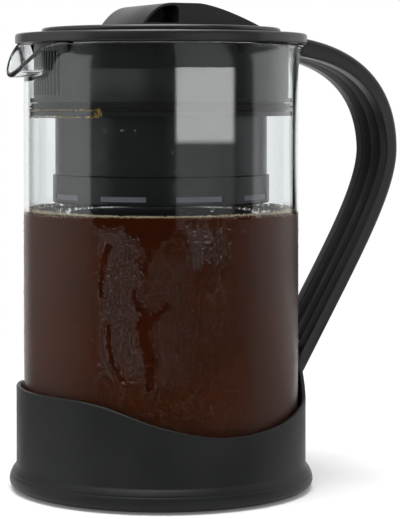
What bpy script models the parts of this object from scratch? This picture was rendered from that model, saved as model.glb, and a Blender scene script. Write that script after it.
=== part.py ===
# Cold brew coffee maker: a glass jug standing in a moulded cradle with a handle,
# and a strainer insert that hangs from the lid and lifts out with it.
#
# Frame: metres, +Z up. The origin lies on the table below the jug's own axis.
# The handle points along +X and the jug's spout along -X.

import math

import bmesh
import bpy
from mathutils import Matrix, Vector

# Clearances and drawing values shared by every piece
SEAT_GAP = 0.0003
CUT_OVERRUN = 0.002
WELD_DISTANCE = 0.000002
WIDE_STEPS = 60
RING_STEPS = 40
CORE_STEPS = 36
SCREW_STEPS = 12
SHARP_EDGE_ANGLE = math.radians(34)

# Glass jug
JUG_RADIUS = 0.0570
JUG_WALL = 0.0022
JUG_HEIGHT = 0.17635
JUG_BASE_THICKNESS = 0.0032
JUG_CORNER_RADIUS = 0.0080
JUG_PUSH_UP = 0.0015
JUG_FLARE = 0.0023
JUG_FLARE_DEPTH = 0.0105
SPOUT_REACH = 0.0090
SPOUT_DROP = 0.0128
SPOUT_HALF_ANGLE = math.radians(27)
SPOUT_THROAT_DEPTH = 0.0030
SPOUT_REACH_FOCUS = 2.5
SPOUT_DROP_FOCUS = 3.5
SPOUT_SINK_FOCUS = 2.0
SPOUT_REACH_CURVE = 0.8

# Cradle round the jug, its foot, and the pads that it carries
JUG_CLEARANCE = 0.0013
CRADLE_WALL = 0.0020
CRADLE_RADIUS = JUG_RADIUS + JUG_CLEARANCE + CRADLE_WALL
CRADLE_FRONT_HEIGHT = 0.0430
CRADLE_WAIST_HEIGHT = 0.0289
CRADLE_BACK_HEIGHT = 0.0590
CRADLE_FLOOR_THICKNESS = 0.0027
FOOT_BULGE = 0.0029
FOOT_BULGE_RISE = 0.0032
FOOT_SOLE_SETBACK = 0.0018
FOOT_SOLE_HEIGHT = 0.0005
FOOT_FLARE_RISE = 0.0063
PAD_SETBACK = 0.0030
PAD_THICKNESS = 0.0020
PAD_BEVEL = 0.0005
CUSHION_SETBACK = 0.0130
CUSHION_WIDTH = 0.0100
CUSHION_THICKNESS = 0.0027
CUSHION_SEAT_DEPTH = 0.0010

# The wall's top edge, as angle from the spout and share of the height that it gains
FRONT_EDGE_SHARES = [(0, 1.0), (30, 1.0), (42, 0.89), (50, 0.72), (65, 0.35), (85, 0.03), (100, 0.0)]
BACK_EDGE_SHARES = [(100, 0.0), (118, 0.07), (138, 0.20), (149, 0.26), (155, 0.37), (158, 0.46),
                    (163, 0.62), (167, 0.75), (170, 0.90), (174, 1.0), (180, 1.0)]

# The foot's flare from its bulge up to the wall, as share of the rise and share of the bulge left
FOOT_FLARE_SHARES = [(0.28, 0.92), (0.56, 0.68), (0.80, 0.34), (0.93, 0.10), (1.0, 0.0)]

# Handle
HANDLE_SPAN = 0.0502
HANDLE_TOP_RISE = 0.00375
HANDLE_WIDEST_SHARE = 0.68
HANDLE_FOOT_DROP = 0.0200
HANDLE_TOP_SLOPE_SHARE = 0.12
HANDLE_FOOT_SLOPE_SHARE = 0.58
HANDLE_END_SETBACK = 0.0005
HANDLE_TOP_PULL = 0.0401
HANDLE_SHOULDER_PULL = 0.0197
HANDLE_GRIP_PULL = 0.0203
HANDLE_FOOT_PULL = 0.0605
HANDLE_WIDTH = 0.0262
HANDLE_TOP_THICKNESS = 0.0080
HANDLE_WIDEST_THICKNESS = 0.0059
HANDLE_FOOT_THICKNESS = 0.0060
HANDLE_BACK_ROUND = 0.0022
HANDLE_LIP_ROUND = 0.0008
ROUND_CORNER_SHARE = 0.3
CHANNEL_WIDTH = 0.0145
CHANNEL_DEPTH = 0.0019
INSERT_CREASE = 0.0005
INSERT_ROUND = 0.0006
HANDLE_STATIONS = 12
BUMPER_WIDTH = 0.0100
BUMPER_HEIGHT = 0.0019
BUMPER_DEPTH = 0.0022
BUMPER_TOP_DROP = 0.0006
SCREW_DROP = 0.0070
SCREW_HEAD_RADIUS = 0.0022
SCREW_SHANK_RADIUS = 0.0012
SCREW_HEAD_THICKNESS = 0.0011
SCREW_GRIP = 0.0030
SCREW_SINK = 0.0003

# Lid, its neck and the strainer skirt
LID_OVERHANG = 0.0011
LID_THICKNESS = 0.0041
LID_ROUND = 0.0011
NECK_SETBACK = 0.0028
NECK_WALL = 0.0020
NECK_DROP = 0.0036
SKIRT_CLEARANCE = 0.0020
SKIRT_WALL = 0.0018
SKIRT_DEPTH = 0.02235
SKIRT_TONGUE = 0.0012
COMB_SLOTS = 13
COMB_HALF_ANGLE = math.radians(17)
COMB_SLOT_SHARE = 0.52
COMB_TOP_MARGIN = 0.0030
COMB_FOOT_MARGIN = 0.0012
SKIRT_LUG_CLEARANCE = 0.0006
SKIRT_LUG_HEIGHT = 0.0060
SKIRT_LUG_WIDTH = 0.0022
SKIRT_LUG_ANGLES = [21, 101, -101, -21]

# Collar that seals against the glass
COLLAR_CLEARANCE = 0.0005
COLLAR_GROOVE = 0.0031
COLLAR_FLANGE = 0.0018
COLLAR_HEIGHT = 0.0072
COLLAR_LEDGE_OVERLAP = 0.0008
COLLAR_LEDGE_THICKNESS = 0.0015
SEAL_HUB_WIDTH = 0.0022
SEAL_LIP_THICKNESS = 0.0008

# Basket
BASKET_SETBACK = 0.0073
BASKET_WALL = 0.0019
BASKET_DEPTH = 0.0241
BASKET_SEAL_WIDTH = 0.0020
BASKET_SEAL_THICKNESS = 0.0015

# Drain cap below the basket
DRAIN_LIP = 0.0010
DRAIN_WALL = 0.0016
DRAIN_DEPTH = 0.0113
DRAIN_FLOOR = 0.0015
DRAIN_BEVEL = 0.0008
DRAIN_LEDGE_WIDTH = 0.0020
DRAIN_SLOTS = 9
DRAIN_SLOT_HEIGHT = 0.0024
DRAIN_SLOT_SPAN = math.radians(25)
DRAIN_SLOT_TURN = math.radians(5)
DRAIN_LEDGE_MARGIN = 0.0008
DRAIN_WINDOW_RINGS_SHARES = [(0.30, 0.54), (0.62, 0.88)]
DRAIN_WINDOW_SPAN = math.radians(24)
SCREEN_RING_WIDTH = 0.0028
SCREEN_RING_THICKNESS = 0.0008
SCREEN_THICKNESS = 0.0004
DRAIN_SEAL_WIDTH = 0.0017
DRAIN_SEAL_THICKNESS = 0.0008

# Cap and its grip
CAP_OVERLAP = 0.0033
CAP_THICKNESS = 0.0021
CAP_ROUND = 0.0012
PLUG_CLEARANCE = 0.0009
PLUG_GROOVE = 0.0013
PLUG_WALL = 0.0018
PLUG_SHOULDER_HEIGHT = 0.0020
PLUG_DEPTH = 0.0078
CAP_SEAL_GROOVE_SHARE = 0.5
GRIP_WIDTH = 0.0428
GRIP_HEIGHT = 0.0094
GRIP_SPOUT_END = 0.0183
GRIP_CREST_START = 0.0040
GRIP_CREST_END = 0.0070
GRIP_TAIL_SETBACK = 0.0148
GRIP_RAMP_CURVE = 2.4
GRIP_TAIL_CURVE = 1.45
GRIP_STEPS = 6
GRIP_PLATE = 0.0012
GRIP_POCKET_DEPTH = 0.0145
GRIP_POCKET_END = 0.0020
GRIP_POCKET_ROUND = 0.0022
GRIP_EDGE = 0.0007

# Radii that follow from the piece each one fits
JUG_BORE = JUG_RADIUS - JUG_WALL
CUSHION_RADIUS = JUG_RADIUS - CUSHION_SETBACK
RIM_RADIUS = JUG_RADIUS + JUG_FLARE
FOOT_RADIUS = CRADLE_RADIUS + FOOT_BULGE
FOOT_SOLE_RADIUS = CRADLE_RADIUS - FOOT_SOLE_SETBACK
PAD_RADIUS = FOOT_SOLE_RADIUS - PAD_SETBACK
LID_RADIUS = RIM_RADIUS + LID_OVERHANG
SKIRT_RADIUS = JUG_BORE - SKIRT_CLEARANCE
SKIRT_BORE = SKIRT_RADIUS - SKIRT_WALL
SKIRT_LUG_RADIUS = JUG_BORE - SKIRT_LUG_CLEARANCE
NECK_RADIUS = SKIRT_BORE - NECK_WALL - NECK_SETBACK
COLLAR_RADIUS = JUG_BORE - COLLAR_CLEARANCE
COLLAR_CORE_RADIUS = COLLAR_RADIUS - COLLAR_GROOVE
BASKET_RADIUS = COLLAR_CORE_RADIUS - BASKET_SETBACK
BASKET_BORE = BASKET_RADIUS - BASKET_WALL
COLLAR_LEDGE_RADIUS = BASKET_BORE - COLLAR_LEDGE_OVERLAP
DRAIN_RADIUS = BASKET_RADIUS + DRAIN_LIP
DRAIN_BORE = DRAIN_RADIUS - DRAIN_WALL
SPIGOT_RADIUS = DRAIN_BORE - SEAT_GAP
CAP_RADIUS = NECK_RADIUS + CAP_OVERLAP
GRIP_TAIL_END = CAP_RADIUS - GRIP_TAIL_SETBACK
PLUG_SHOULDER_RADIUS = NECK_RADIUS - PLUG_CLEARANCE
PLUG_RADIUS = PLUG_SHOULDER_RADIUS - PLUG_GROOVE

# Heights that follow from the pieces below or above
PAD_SEAT = PAD_THICKNESS + SEAT_GAP
CRADLE_FLOOR = PAD_SEAT + CRADLE_FLOOR_THICKNESS
CUSHION_SEAT = CRADLE_FLOOR - CUSHION_SEAT_DEPTH
FOOT_BULGE_HEIGHT = FOOT_SOLE_HEIGHT + FOOT_BULGE_RISE
WALL_START_HEIGHT = FOOT_BULGE_HEIGHT + FOOT_FLARE_RISE
JUG_BASE_HEIGHT = CUSHION_SEAT + SEAT_GAP + CUSHION_THICKNESS + SEAT_GAP
JUG_TOP_HEIGHT = JUG_BASE_HEIGHT + JUG_HEIGHT
LID_HEIGHT = JUG_TOP_HEIGHT + SEAT_GAP
LID_TOP = LID_HEIGHT + LID_THICKNESS
CAP_HEIGHT = LID_TOP + SEAT_GAP
CAP_TOP = CAP_HEIGHT + CAP_THICKNESS
GRIP_BASE = CAP_TOP + SEAT_GAP
SKIRT_TOP = LID_HEIGHT + SKIRT_TONGUE
COLLAR_TOP_HEIGHT = LID_HEIGHT - SKIRT_DEPTH
COLLAR_BASE = COLLAR_TOP_HEIGHT - COLLAR_HEIGHT
SKIRT_BASE = COLLAR_TOP_HEIGHT - SKIRT_TONGUE + SEAT_GAP
COLLAR_LEDGE = COLLAR_TOP_HEIGHT - COLLAR_LEDGE_THICKNESS
BASKET_SEAL_BASE = COLLAR_LEDGE - SEAT_GAP - BASKET_SEAL_THICKNESS
BASKET_TOP = BASKET_SEAL_BASE - SEAT_GAP
BASKET_STEP_HEIGHT = COLLAR_BASE - BASKET_DEPTH
DRAIN_TOP = BASKET_STEP_HEIGHT - SEAT_GAP
DRAIN_BASE_HEIGHT = DRAIN_TOP - DRAIN_DEPTH
DRAIN_FLOOR_TOP = DRAIN_BASE_HEIGHT + DRAIN_FLOOR
DRAIN_LEDGE = DRAIN_FLOOR_TOP + DRAIN_SLOT_HEIGHT + DRAIN_LEDGE_MARGIN
SCREEN_RING_BASE = DRAIN_LEDGE + SEAT_GAP
SCREEN_BASE = SCREEN_RING_BASE + SCREEN_RING_THICKNESS + SEAT_GAP
DRAIN_SEAL_BASE = SCREEN_BASE + SCREEN_THICKNESS + SEAT_GAP
DRAIN_SEAL_TOP = DRAIN_SEAL_BASE + DRAIN_SEAL_THICKNESS
SPIGOT_BASE = DRAIN_SEAL_TOP + SEAT_GAP
HANDLE_TOP_HEIGHT = JUG_TOP_HEIGHT + HANDLE_TOP_RISE
HANDLE_FOOT_HEIGHT = CRADLE_BACK_HEIGHT - HANDLE_FOOT_DROP
HANDLE_WIDEST_HEIGHT = (HANDLE_FOOT_HEIGHT
                        + (HANDLE_TOP_HEIGHT - HANDLE_FOOT_HEIGHT) * HANDLE_WIDEST_SHARE)
HANDLE_REACH = JUG_RADIUS + HANDLE_SPAN
HANDLE_END_RADIUS = JUG_RADIUS + HANDLE_END_SETBACK
SCREW_HEIGHT = CRADLE_BACK_HEIGHT - SCREW_DROP
SCREW_SPACING = (HANDLE_WIDTH + CHANNEL_WIDTH) / 2 - SEAT_GAP * 2
SCREW_LENGTH = CRADLE_WALL - SCREW_SINK + SCREW_GRIP


def clear_scene():
    for thing in list(bpy.data.objects):
        bpy.data.objects.remove(thing, do_unlink=True)


def make_material(name, colour, roughness, metallic=0.0, transmission=0.0):
    material = bpy.data.materials.new(name)
    material.use_nodes = True
    shader = material.node_tree.nodes["Principled BSDF"]
    shader.inputs["Base Color"].default_value = (*colour, 1.0)
    shader.inputs["Roughness"].default_value = roughness
    shader.inputs["Metallic"].default_value = metallic
    shader.inputs["Transmission Weight"].default_value = transmission
    return material


def finish_mesh(name, form, material):
    """Turn a bmesh into a smooth shaded object at the world origin."""
    bmesh.ops.remove_doubles(form, verts=form.verts, dist=WELD_DISTANCE)
    bmesh.ops.recalc_face_normals(form, faces=form.faces)
    mesh = bpy.data.meshes.new(name)
    form.to_mesh(mesh)
    form.free()
    mesh.shade_smooth()
    mesh.set_sharp_from_angle(angle=SHARP_EDGE_ANGLE)
    thing = bpy.data.objects.new(name, mesh)
    bpy.context.collection.objects.link(thing)
    if material is not None:
        mesh.materials.append(material)
    return thing


def arc(centre_radius, centre_height, radius, start, end, steps):
    """Points of a round corner in the profile plane; angles in degrees from outwards."""
    points = []
    for step in range(steps + 1):
        angle = math.radians(start + (end - start) * step / steps)
        points.append((centre_radius + radius * math.cos(angle),
                       centre_height + radius * math.sin(angle)))
    return points


def turned(name, profile, steps, material, closed=False):
    """Spin a profile of (radius, height) points round the Z axis."""
    form = bmesh.new()
    corners = [form.verts.new((radius, 0.0, height)) for radius, height in profile]
    edges = [form.edges.new(pair) for pair in zip(corners, corners[1:])]
    if closed:
        edges.append(form.edges.new((corners[-1], corners[0])))
    bmesh.ops.spin(form, geom=corners + edges, cent=(0.0, 0.0, 0.0), axis=(0.0, 0.0, 1.0),
                   angle=2.0 * math.pi, steps=steps, use_duplicate=False)
    return finish_mesh(name, form, material)


def lofted(name, sections, material):
    """Join rings of points, all with the same count, and close both ends."""
    form = bmesh.new()
    rings = [[form.verts.new(point) for point in section] for section in sections]
    count = len(rings[0])
    for ring, following in zip(rings, rings[1:]):
        for corner in range(count):
            after = (corner + 1) % count
            form.faces.new((ring[corner], ring[after], following[after], following[corner]))
    form.faces.new(rings[0])
    form.faces.new(rings[-1])
    return finish_mesh(name, form, material)


def sector(name, inner, outer, base, top, middle, span, steps, material=None):
    """A block bent round the Z axis; middle is the angle from the spout, towards the front."""
    sections = []
    for step in range(steps + 1):
        angle = middle + span * (step / steps - 0.5)
        side = Vector((-math.cos(angle), -math.sin(angle), 0.0))
        sections.append([side * inner + Vector((0.0, 0.0, base)),
                         side * outer + Vector((0.0, 0.0, base)),
                         side * outer + Vector((0.0, 0.0, top)),
                         side * inner + Vector((0.0, 0.0, top))])
    return lofted(name, sections, material)


def hide_tool(tool):
    tool.hide_render = True
    tool.display_type = 'WIRE'


def combine(target, tool, operation):
    """Cut a tool out of a piece, or join it on."""
    hide_tool(tool)
    modifier = target.modifiers.new(operation.lower() + "_" + tool.name, 'BOOLEAN')
    modifier.operation = operation
    modifier.object = tool
    modifier.solver = 'EXACT'


def merge_tools(name, tools):
    """Put several tools that lie apart into one mesh, so that one Boolean does the work."""
    form = bmesh.new()
    for tool in tools:
        form.from_mesh(tool.data)
        bpy.data.objects.remove(tool, do_unlink=True)
    return finish_mesh(name, form, None)


def smooth_between(table, place):
    """Read a table of (place, value) along a smooth curve through its points."""
    count = len(table)
    for index in range(count - 1):
        left, right = table[index], table[index + 1]
        if place <= right[0] or index == count - 2:
            break
    before = table[max(index - 1, 0)]
    beyond = table[min(index + 2, count - 1)]
    width = right[0] - left[0]
    slope_left = (right[1] - before[1]) / (right[0] - before[0])
    slope_right = (beyond[1] - left[1]) / (beyond[0] - left[0])
    share = (place - left[0]) / width
    return ((2 * share ** 3 - 3 * share ** 2 + 1) * left[1]
            + (share ** 3 - 2 * share ** 2 + share) * width * slope_left
            + (3 * share ** 2 - 2 * share ** 3) * right[1]
            + (share ** 3 - share ** 2) * width * slope_right)


def angle_from_spout(point):
    return abs(math.atan2(point.y, -point.x))


def cradle_edge_height(angle):
    """Height of the cradle wall's top edge at an angle from the spout."""
    place = math.degrees(angle)
    if place <= FRONT_EDGE_SHARES[-1][0]:
        gain = CRADLE_FRONT_HEIGHT - CRADLE_WAIST_HEIGHT
        return CRADLE_WAIST_HEIGHT + gain * smooth_between(FRONT_EDGE_SHARES, place)
    gain = CRADLE_BACK_HEIGHT - CRADLE_WAIST_HEIGHT
    return CRADLE_WAIST_HEIGHT + gain * smooth_between(BACK_EDGE_SHARES, place)


def build_base_pad(material):
    profile = [(0.0, 0.0), (PAD_RADIUS - PAD_BEVEL, 0.0), (PAD_RADIUS, PAD_BEVEL),
               (PAD_RADIUS, PAD_THICKNESS), (0.0, PAD_THICKNESS)]
    return turned("base_pad", profile, CORE_STEPS, material)


def build_cradle(material):
    """One moulding: foot, floor and a wall whose top edge sweeps up at the spout and the handle."""
    pad_bore = PAD_RADIUS + SEAT_GAP
    inner = CRADLE_RADIUS - CRADLE_WALL
    half_wall = CRADLE_WALL / 2
    lip_round = half_wall / 2
    ring_inner = CUSHION_RADIUS - CUSHION_WIDTH / 2 - SEAT_GAP
    ring_outer = CUSHION_RADIUS + CUSHION_WIDTH / 2 + SEAT_GAP
    bulge = [(FOOT_SOLE_RADIUS + (FOOT_RADIUS - FOOT_SOLE_RADIUS) * math.sin(turn),
              FOOT_BULGE_HEIGHT - (FOOT_BULGE_HEIGHT - FOOT_SOLE_HEIGHT) * math.cos(turn))
             for turn in (math.radians(30 * step) for step in range(4))]
    edge = CRADLE_FRONT_HEIGHT
    profile = [(0.0, PAD_SEAT), (pad_bore, PAD_SEAT), (pad_bore, FOOT_SOLE_HEIGHT)]
    profile += bulge
    profile += [(CRADLE_RADIUS + FOOT_BULGE * left, FOOT_BULGE_HEIGHT + FOOT_FLARE_RISE * risen)
                for risen, left in FOOT_FLARE_SHARES]
    profile += [(CRADLE_RADIUS, edge - half_wall),
                (CRADLE_RADIUS - lip_round, edge - lip_round / 4),
                (inner + lip_round, edge),
                (inner, edge - lip_round),
                (inner, CRADLE_FLOOR + CRADLE_WALL),
                (inner - CRADLE_WALL, CRADLE_FLOOR),
                (ring_outer, CRADLE_FLOOR), (ring_outer, CUSHION_SEAT),
                (ring_inner, CUSHION_SEAT), (ring_inner, CRADLE_FLOOR),
                (0.0, CRADLE_FLOOR)]
    cradle = turned("cradle", profile, WIDE_STEPS, material)
    for corner in cradle.data.vertices:
        if corner.co.z > WALL_START_HEIGHT + half_wall:
            corner.co.z += cradle_edge_height(angle_from_spout(corner.co)) - edge
    for index, side in enumerate((-0.5, 0.5)):
        hole = screw_form("cradle_screw_hole_%d" % index, side * SCREW_SPACING, SEAT_GAP)
        combine(cradle, hole, 'DIFFERENCE')
    return cradle


def build_jug_cushion(material):
    inner = CUSHION_RADIUS - CUSHION_WIDTH / 2
    outer = CUSHION_RADIUS + CUSHION_WIDTH / 2
    base = CUSHION_SEAT + SEAT_GAP
    top = base + CUSHION_THICKNESS
    profile = [(inner, base), (outer, base), (outer, top - PAD_BEVEL), (outer - PAD_BEVEL, top),
               (inner + PAD_BEVEL, top), (inner, top - PAD_BEVEL)]
    return turned("jug_cushion", profile, CORE_STEPS, material, closed=True)


def build_glass_jug(material):
    """Blown jug: a turned wall with a flared rim, its lip pulled out and down to make the spout."""
    inner = JUG_BORE
    half_wall = JUG_WALL / 2
    base = JUG_BASE_HEIGHT
    floor = base + JUG_BASE_THICKNESS
    corner = JUG_CORNER_RADIUS
    flare_start = JUG_TOP_HEIGHT - JUG_FLARE_DEPTH
    flare_steps = 3
    outer_flare = []
    inner_flare = []
    for step in range(1, flare_steps + 1):
        share = step / flare_steps
        rise = (JUG_FLARE_DEPTH - half_wall) * share
        lean = JUG_FLARE * share * share
        outer_flare.append((JUG_RADIUS + lean, flare_start + rise))
        inner_flare.append((inner + lean, flare_start + rise))
    profile = [(0.0, base + JUG_PUSH_UP), (CUSHION_RADIUS - CUSHION_WIDTH, base)]
    profile += arc(JUG_RADIUS - corner, base + corner, corner, -90, 0, 3)
    profile.append((JUG_RADIUS, flare_start))
    profile += outer_flare
    profile.append((inner + half_wall + JUG_FLARE, JUG_TOP_HEIGHT))
    profile += reversed(inner_flare)
    profile.append((inner, flare_start))
    profile += arc(JUG_RADIUS - corner, floor + corner - JUG_WALL, corner - JUG_WALL, 0, -90, 3)
    profile += [(CUSHION_RADIUS - CUSHION_WIDTH, floor), (0.0, floor + JUG_PUSH_UP)]
    jug = turned("glass_jug", profile, WIDE_STEPS, material)
    for point in jug.data.vertices:
        angle = angle_from_spout(point.co)
        if point.co.z < flare_start - WELD_DISTANCE or angle >= SPOUT_HALF_ANGLE:
            continue
        pull = math.cos(0.5 * math.pi * angle / SPOUT_HALF_ANGLE)
        share = max(point.co.z - flare_start, 0.0) / JUG_FLARE_DEPTH
        radius = math.hypot(point.co.x, point.co.y)
        reach = radius + SPOUT_REACH * pull ** SPOUT_REACH_FOCUS * share ** SPOUT_REACH_CURVE
        drop = SPOUT_DROP * pull ** SPOUT_DROP_FOCUS * share
        sink = SPOUT_THROAT_DEPTH * pull ** SPOUT_SINK_FOCUS * (1.0 - share)
        point.co.x *= reach / radius
        point.co.y *= reach / radius
        point.co.z -= drop + sink
    return jug


def handle_point(start, start_pull, end_pull, end, share):
    """A point and its direction on one cubic curve of the handle's back."""
    rest = 1.0 - share
    point = (start * rest ** 3 + start_pull * 3 * rest ** 2 * share
             + end_pull * 3 * rest * share ** 2 + end * share ** 3)
    direction = ((start_pull - start) * rest ** 2 + (end_pull - start_pull) * 2 * rest * share
                 + (end - end_pull) * share ** 2)
    return point, direction.normalized()


def handle_stations():
    """Back of the handle in its own plane, from the rim to the cradle: point, direction, thickness."""
    top = Vector((HANDLE_END_RADIUS, HANDLE_TOP_HEIGHT))
    top_way = Vector((1.0, -HANDLE_TOP_SLOPE_SHARE)).normalized()
    widest = Vector((HANDLE_REACH, HANDLE_WIDEST_HEIGHT))
    down = Vector((0.0, -1.0))
    foot = Vector((HANDLE_END_RADIUS, HANDLE_FOOT_HEIGHT))
    foot_way = Vector((-HANDLE_FOOT_SLOPE_SHARE, -1.0)).normalized()
    runs = [(top, top + top_way * HANDLE_TOP_PULL, widest - down * HANDLE_SHOULDER_PULL, widest,
             HANDLE_TOP_THICKNESS, HANDLE_WIDEST_THICKNESS),
            (widest, widest + down * HANDLE_GRIP_PULL, foot - foot_way * HANDLE_FOOT_PULL, foot,
             HANDLE_WIDEST_THICKNESS, HANDLE_FOOT_THICKNESS)]
    stations = []
    for number, (start, start_pull, end_pull, end, first, last) in enumerate(runs):
        for step in range(HANDLE_STATIONS + 1):
            if number and not step:
                continue
            share = step / HANDLE_STATIONS
            point, direction = handle_point(start, start_pull, end_pull, end, share)
            stations.append((point, direction, first + (last - first) * share))
    return stations


def handle_sweep(name, outline, material):
    """Carry an outline of (width, depth) points along the handle; depth is measured from its back."""
    sections = []
    for point, direction, thickness in handle_stations():
        inwards = Vector((direction.y, -direction.x))
        section = []
        for width, depth in outline(thickness):
            place = point + inwards * depth
            section.append(Vector((place.x, width, place.y)))
        sections.append(section)
    return lofted(name, sections, material)


def shell_outline(thickness):
    """Channel section: a rounded back, two side walls and the groove for the grip strip."""
    half = HANDLE_WIDTH / 2
    back = HANDLE_BACK_ROUND
    bend = HANDLE_BACK_ROUND * ROUND_CORNER_SHARE
    lip = HANDLE_LIP_ROUND
    channel = CHANNEL_WIDTH / 2
    side = [(half - back, 0.0), (half - bend, bend), (half, back),
            (half, thickness - lip), (half - lip, thickness),
            (channel, thickness), (channel, thickness - CHANNEL_DEPTH)]
    return side + [(-width, depth) for width, depth in reversed(side)]


def insert_outline(thickness):
    """Grip strip with soft edges and a fine crease along its middle."""
    half = CHANNEL_WIDTH / 2 - SEAT_GAP
    base = thickness - CHANNEL_DEPTH + SEAT_GAP
    side = [(half, base), (half, thickness - INSERT_ROUND), (half - INSERT_ROUND, thickness),
            (INSERT_CREASE, thickness)]
    far_side = [(-width, depth) for width, depth in reversed(side)]
    return side + [(0.0, thickness - INSERT_CREASE)] + far_side


def handle_end_tool(name, extra):
    """A turned body as wide as the lid above and the cradle below, which trims the handle's ends."""
    low = CRADLE_RADIUS + extra
    high = LID_RADIUS + extra
    base = CRADLE_WAIST_HEIGHT - CUT_OVERRUN
    middle = HANDLE_WIDEST_HEIGHT
    profile = [(0.0, base), (low, base), (low, middle), (high, middle),
               (high, CAP_TOP), (0.0, CAP_TOP)]
    tool = turned(name, profile, WIDE_STEPS, None)
    tool.data.transform(Matrix.Rotation(math.pi / WIDE_STEPS, 4, 'Z'))
    return tool


def bumper_form(name, extra, material=None):
    """The soft block between the handle's upper end and the glass rim."""
    inner = RIM_RADIUS + SEAT_GAP + SEAT_GAP / 2
    outer = LID_RADIUS + SEAT_GAP + BUMPER_DEPTH
    top = JUG_TOP_HEIGHT - BUMPER_TOP_DROP + extra
    base = JUG_TOP_HEIGHT - BUMPER_TOP_DROP - BUMPER_HEIGHT - extra
    span = (BUMPER_WIDTH + 2 * extra) / outer
    return sector(name, inner - extra, outer + extra, base, top, math.pi, span, 4, material)


def build_handle_shell(material):
    shell = handle_sweep("handle_shell", shell_outline, material)
    combine(shell, handle_end_tool("handle_end_trim", SEAT_GAP), 'DIFFERENCE')
    combine(shell, bumper_form("bumper_pocket", SEAT_GAP), 'DIFFERENCE')
    for index, side in enumerate((-0.5, 0.5)):
        hole = screw_form("handle_screw_hole_%d" % index, side * SCREW_SPACING, SEAT_GAP)
        combine(shell, hole, 'DIFFERENCE')
    return shell


def build_handle_grip(material):
    strip = handle_sweep("handle_grip", insert_outline, material)
    combine(strip, handle_end_tool("grip_end_trim", SEAT_GAP), 'DIFFERENCE')
    return strip


def screw_form(name, sideways, extra, material=None):
    """A countersunk screw along +X: head inside the cradle's wall, shank in the handle's root."""
    face = CRADLE_RADIUS - CRADLE_WALL + SCREW_SINK
    head = SCREW_HEAD_RADIUS + extra
    shank = SCREW_SHANK_RADIUS + extra
    mouth = face - CUT_OVERRUN if extra else face
    stations = [(mouth, head), (face + SCREW_SINK + extra, head),
                (face + SCREW_HEAD_THICKNESS + extra, shank),
                (face + SCREW_LENGTH + extra, shank)]
    sections = []
    for along, radius in stations:
        section = []
        for step in range(SCREW_STEPS):
            angle = 2.0 * math.pi * step / SCREW_STEPS
            section.append(Vector((along, sideways + radius * math.cos(angle),
                                   SCREW_HEIGHT + radius * math.sin(angle))))
        sections.append(section)
    return lofted(name, sections, material)


def build_lid_ring(material):
    """Lower disc of the lid, with the filling neck and a groove that takes the skirt's tongue."""
    groove_inner = SKIRT_BORE - SEAT_GAP
    groove_outer = SKIRT_RADIUS + SEAT_GAP
    groove_roof = SKIRT_TOP + SEAT_GAP
    neck_outer = NECK_RADIUS + NECK_WALL
    profile = [(NECK_RADIUS, LID_HEIGHT - NECK_DROP), (neck_outer, LID_HEIGHT - NECK_DROP),
               (neck_outer, LID_HEIGHT), (groove_inner, LID_HEIGHT), (groove_inner, groove_roof),
               (groove_outer, groove_roof), (groove_outer, LID_HEIGHT)]
    profile += arc(LID_RADIUS - LID_ROUND / 2, LID_HEIGHT + LID_ROUND / 2, LID_ROUND / 2, -90, 0, 1)
    profile += arc(LID_RADIUS - LID_ROUND, LID_TOP - LID_ROUND, LID_ROUND, 0, 90, 2)
    profile += [(NECK_RADIUS, LID_TOP)]
    return turned("lid_ring", profile, RING_STEPS, material, closed=True)


def build_pour_skirt(material):
    """Strainer wall below the lid: its comb of slots faces the spout."""
    inner = SKIRT_BORE
    profile = [(inner, SKIRT_BASE), (SKIRT_RADIUS, SKIRT_BASE),
               (SKIRT_RADIUS, SKIRT_TOP), (inner, SKIRT_TOP)]
    skirt = turned("pour_skirt", profile, RING_STEPS, material, closed=True)
    pitch = 2 * COMB_HALF_ANGLE / COMB_SLOTS
    foot = COLLAR_TOP_HEIGHT + COMB_FOOT_MARGIN
    top = LID_HEIGHT - COMB_TOP_MARGIN
    slots = []
    for number in range(COMB_SLOTS):
        place = number - (COMB_SLOTS - 1) / 2
        lower = COMB_TOP_MARGIN / 2 if abs(place) == (COMB_SLOTS - 1) / 2 else 0.0
        slots.append(sector("slot_%d" % number, inner - CUT_OVERRUN, SKIRT_RADIUS + CUT_OVERRUN, foot,
                            top - lower, place * pitch, pitch * COMB_SLOT_SHARE, 1))
    combine(skirt, merge_tools("comb_slots", slots), 'DIFFERENCE')
    lugs = []
    for place in SKIRT_LUG_ANGLES:
        angle = math.radians(place)
        side = Vector((-math.cos(angle), -math.sin(angle), 0.0))
        across = Vector((side.y, -side.x, 0.0)) * (SKIRT_LUG_WIDTH / 2)
        root = SKIRT_RADIUS - SKIRT_WALL / 2
        tip = SKIRT_LUG_RADIUS
        high = LID_HEIGHT - SEAT_GAP
        outline = [(root, high - SKIRT_LUG_HEIGHT), (root, high), (tip, high), (tip, high - SEAT_GAP)]
        sections = [[side * radius + across * turn + Vector((0.0, 0.0, height))
                     for radius, height in outline] for turn in (-1.0, 1.0)]
        lugs.append(lofted("lug_%d" % place, sections, None))
    combine(skirt, merge_tools("skirt_lugs", lugs), 'UNION')
    return skirt


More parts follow.
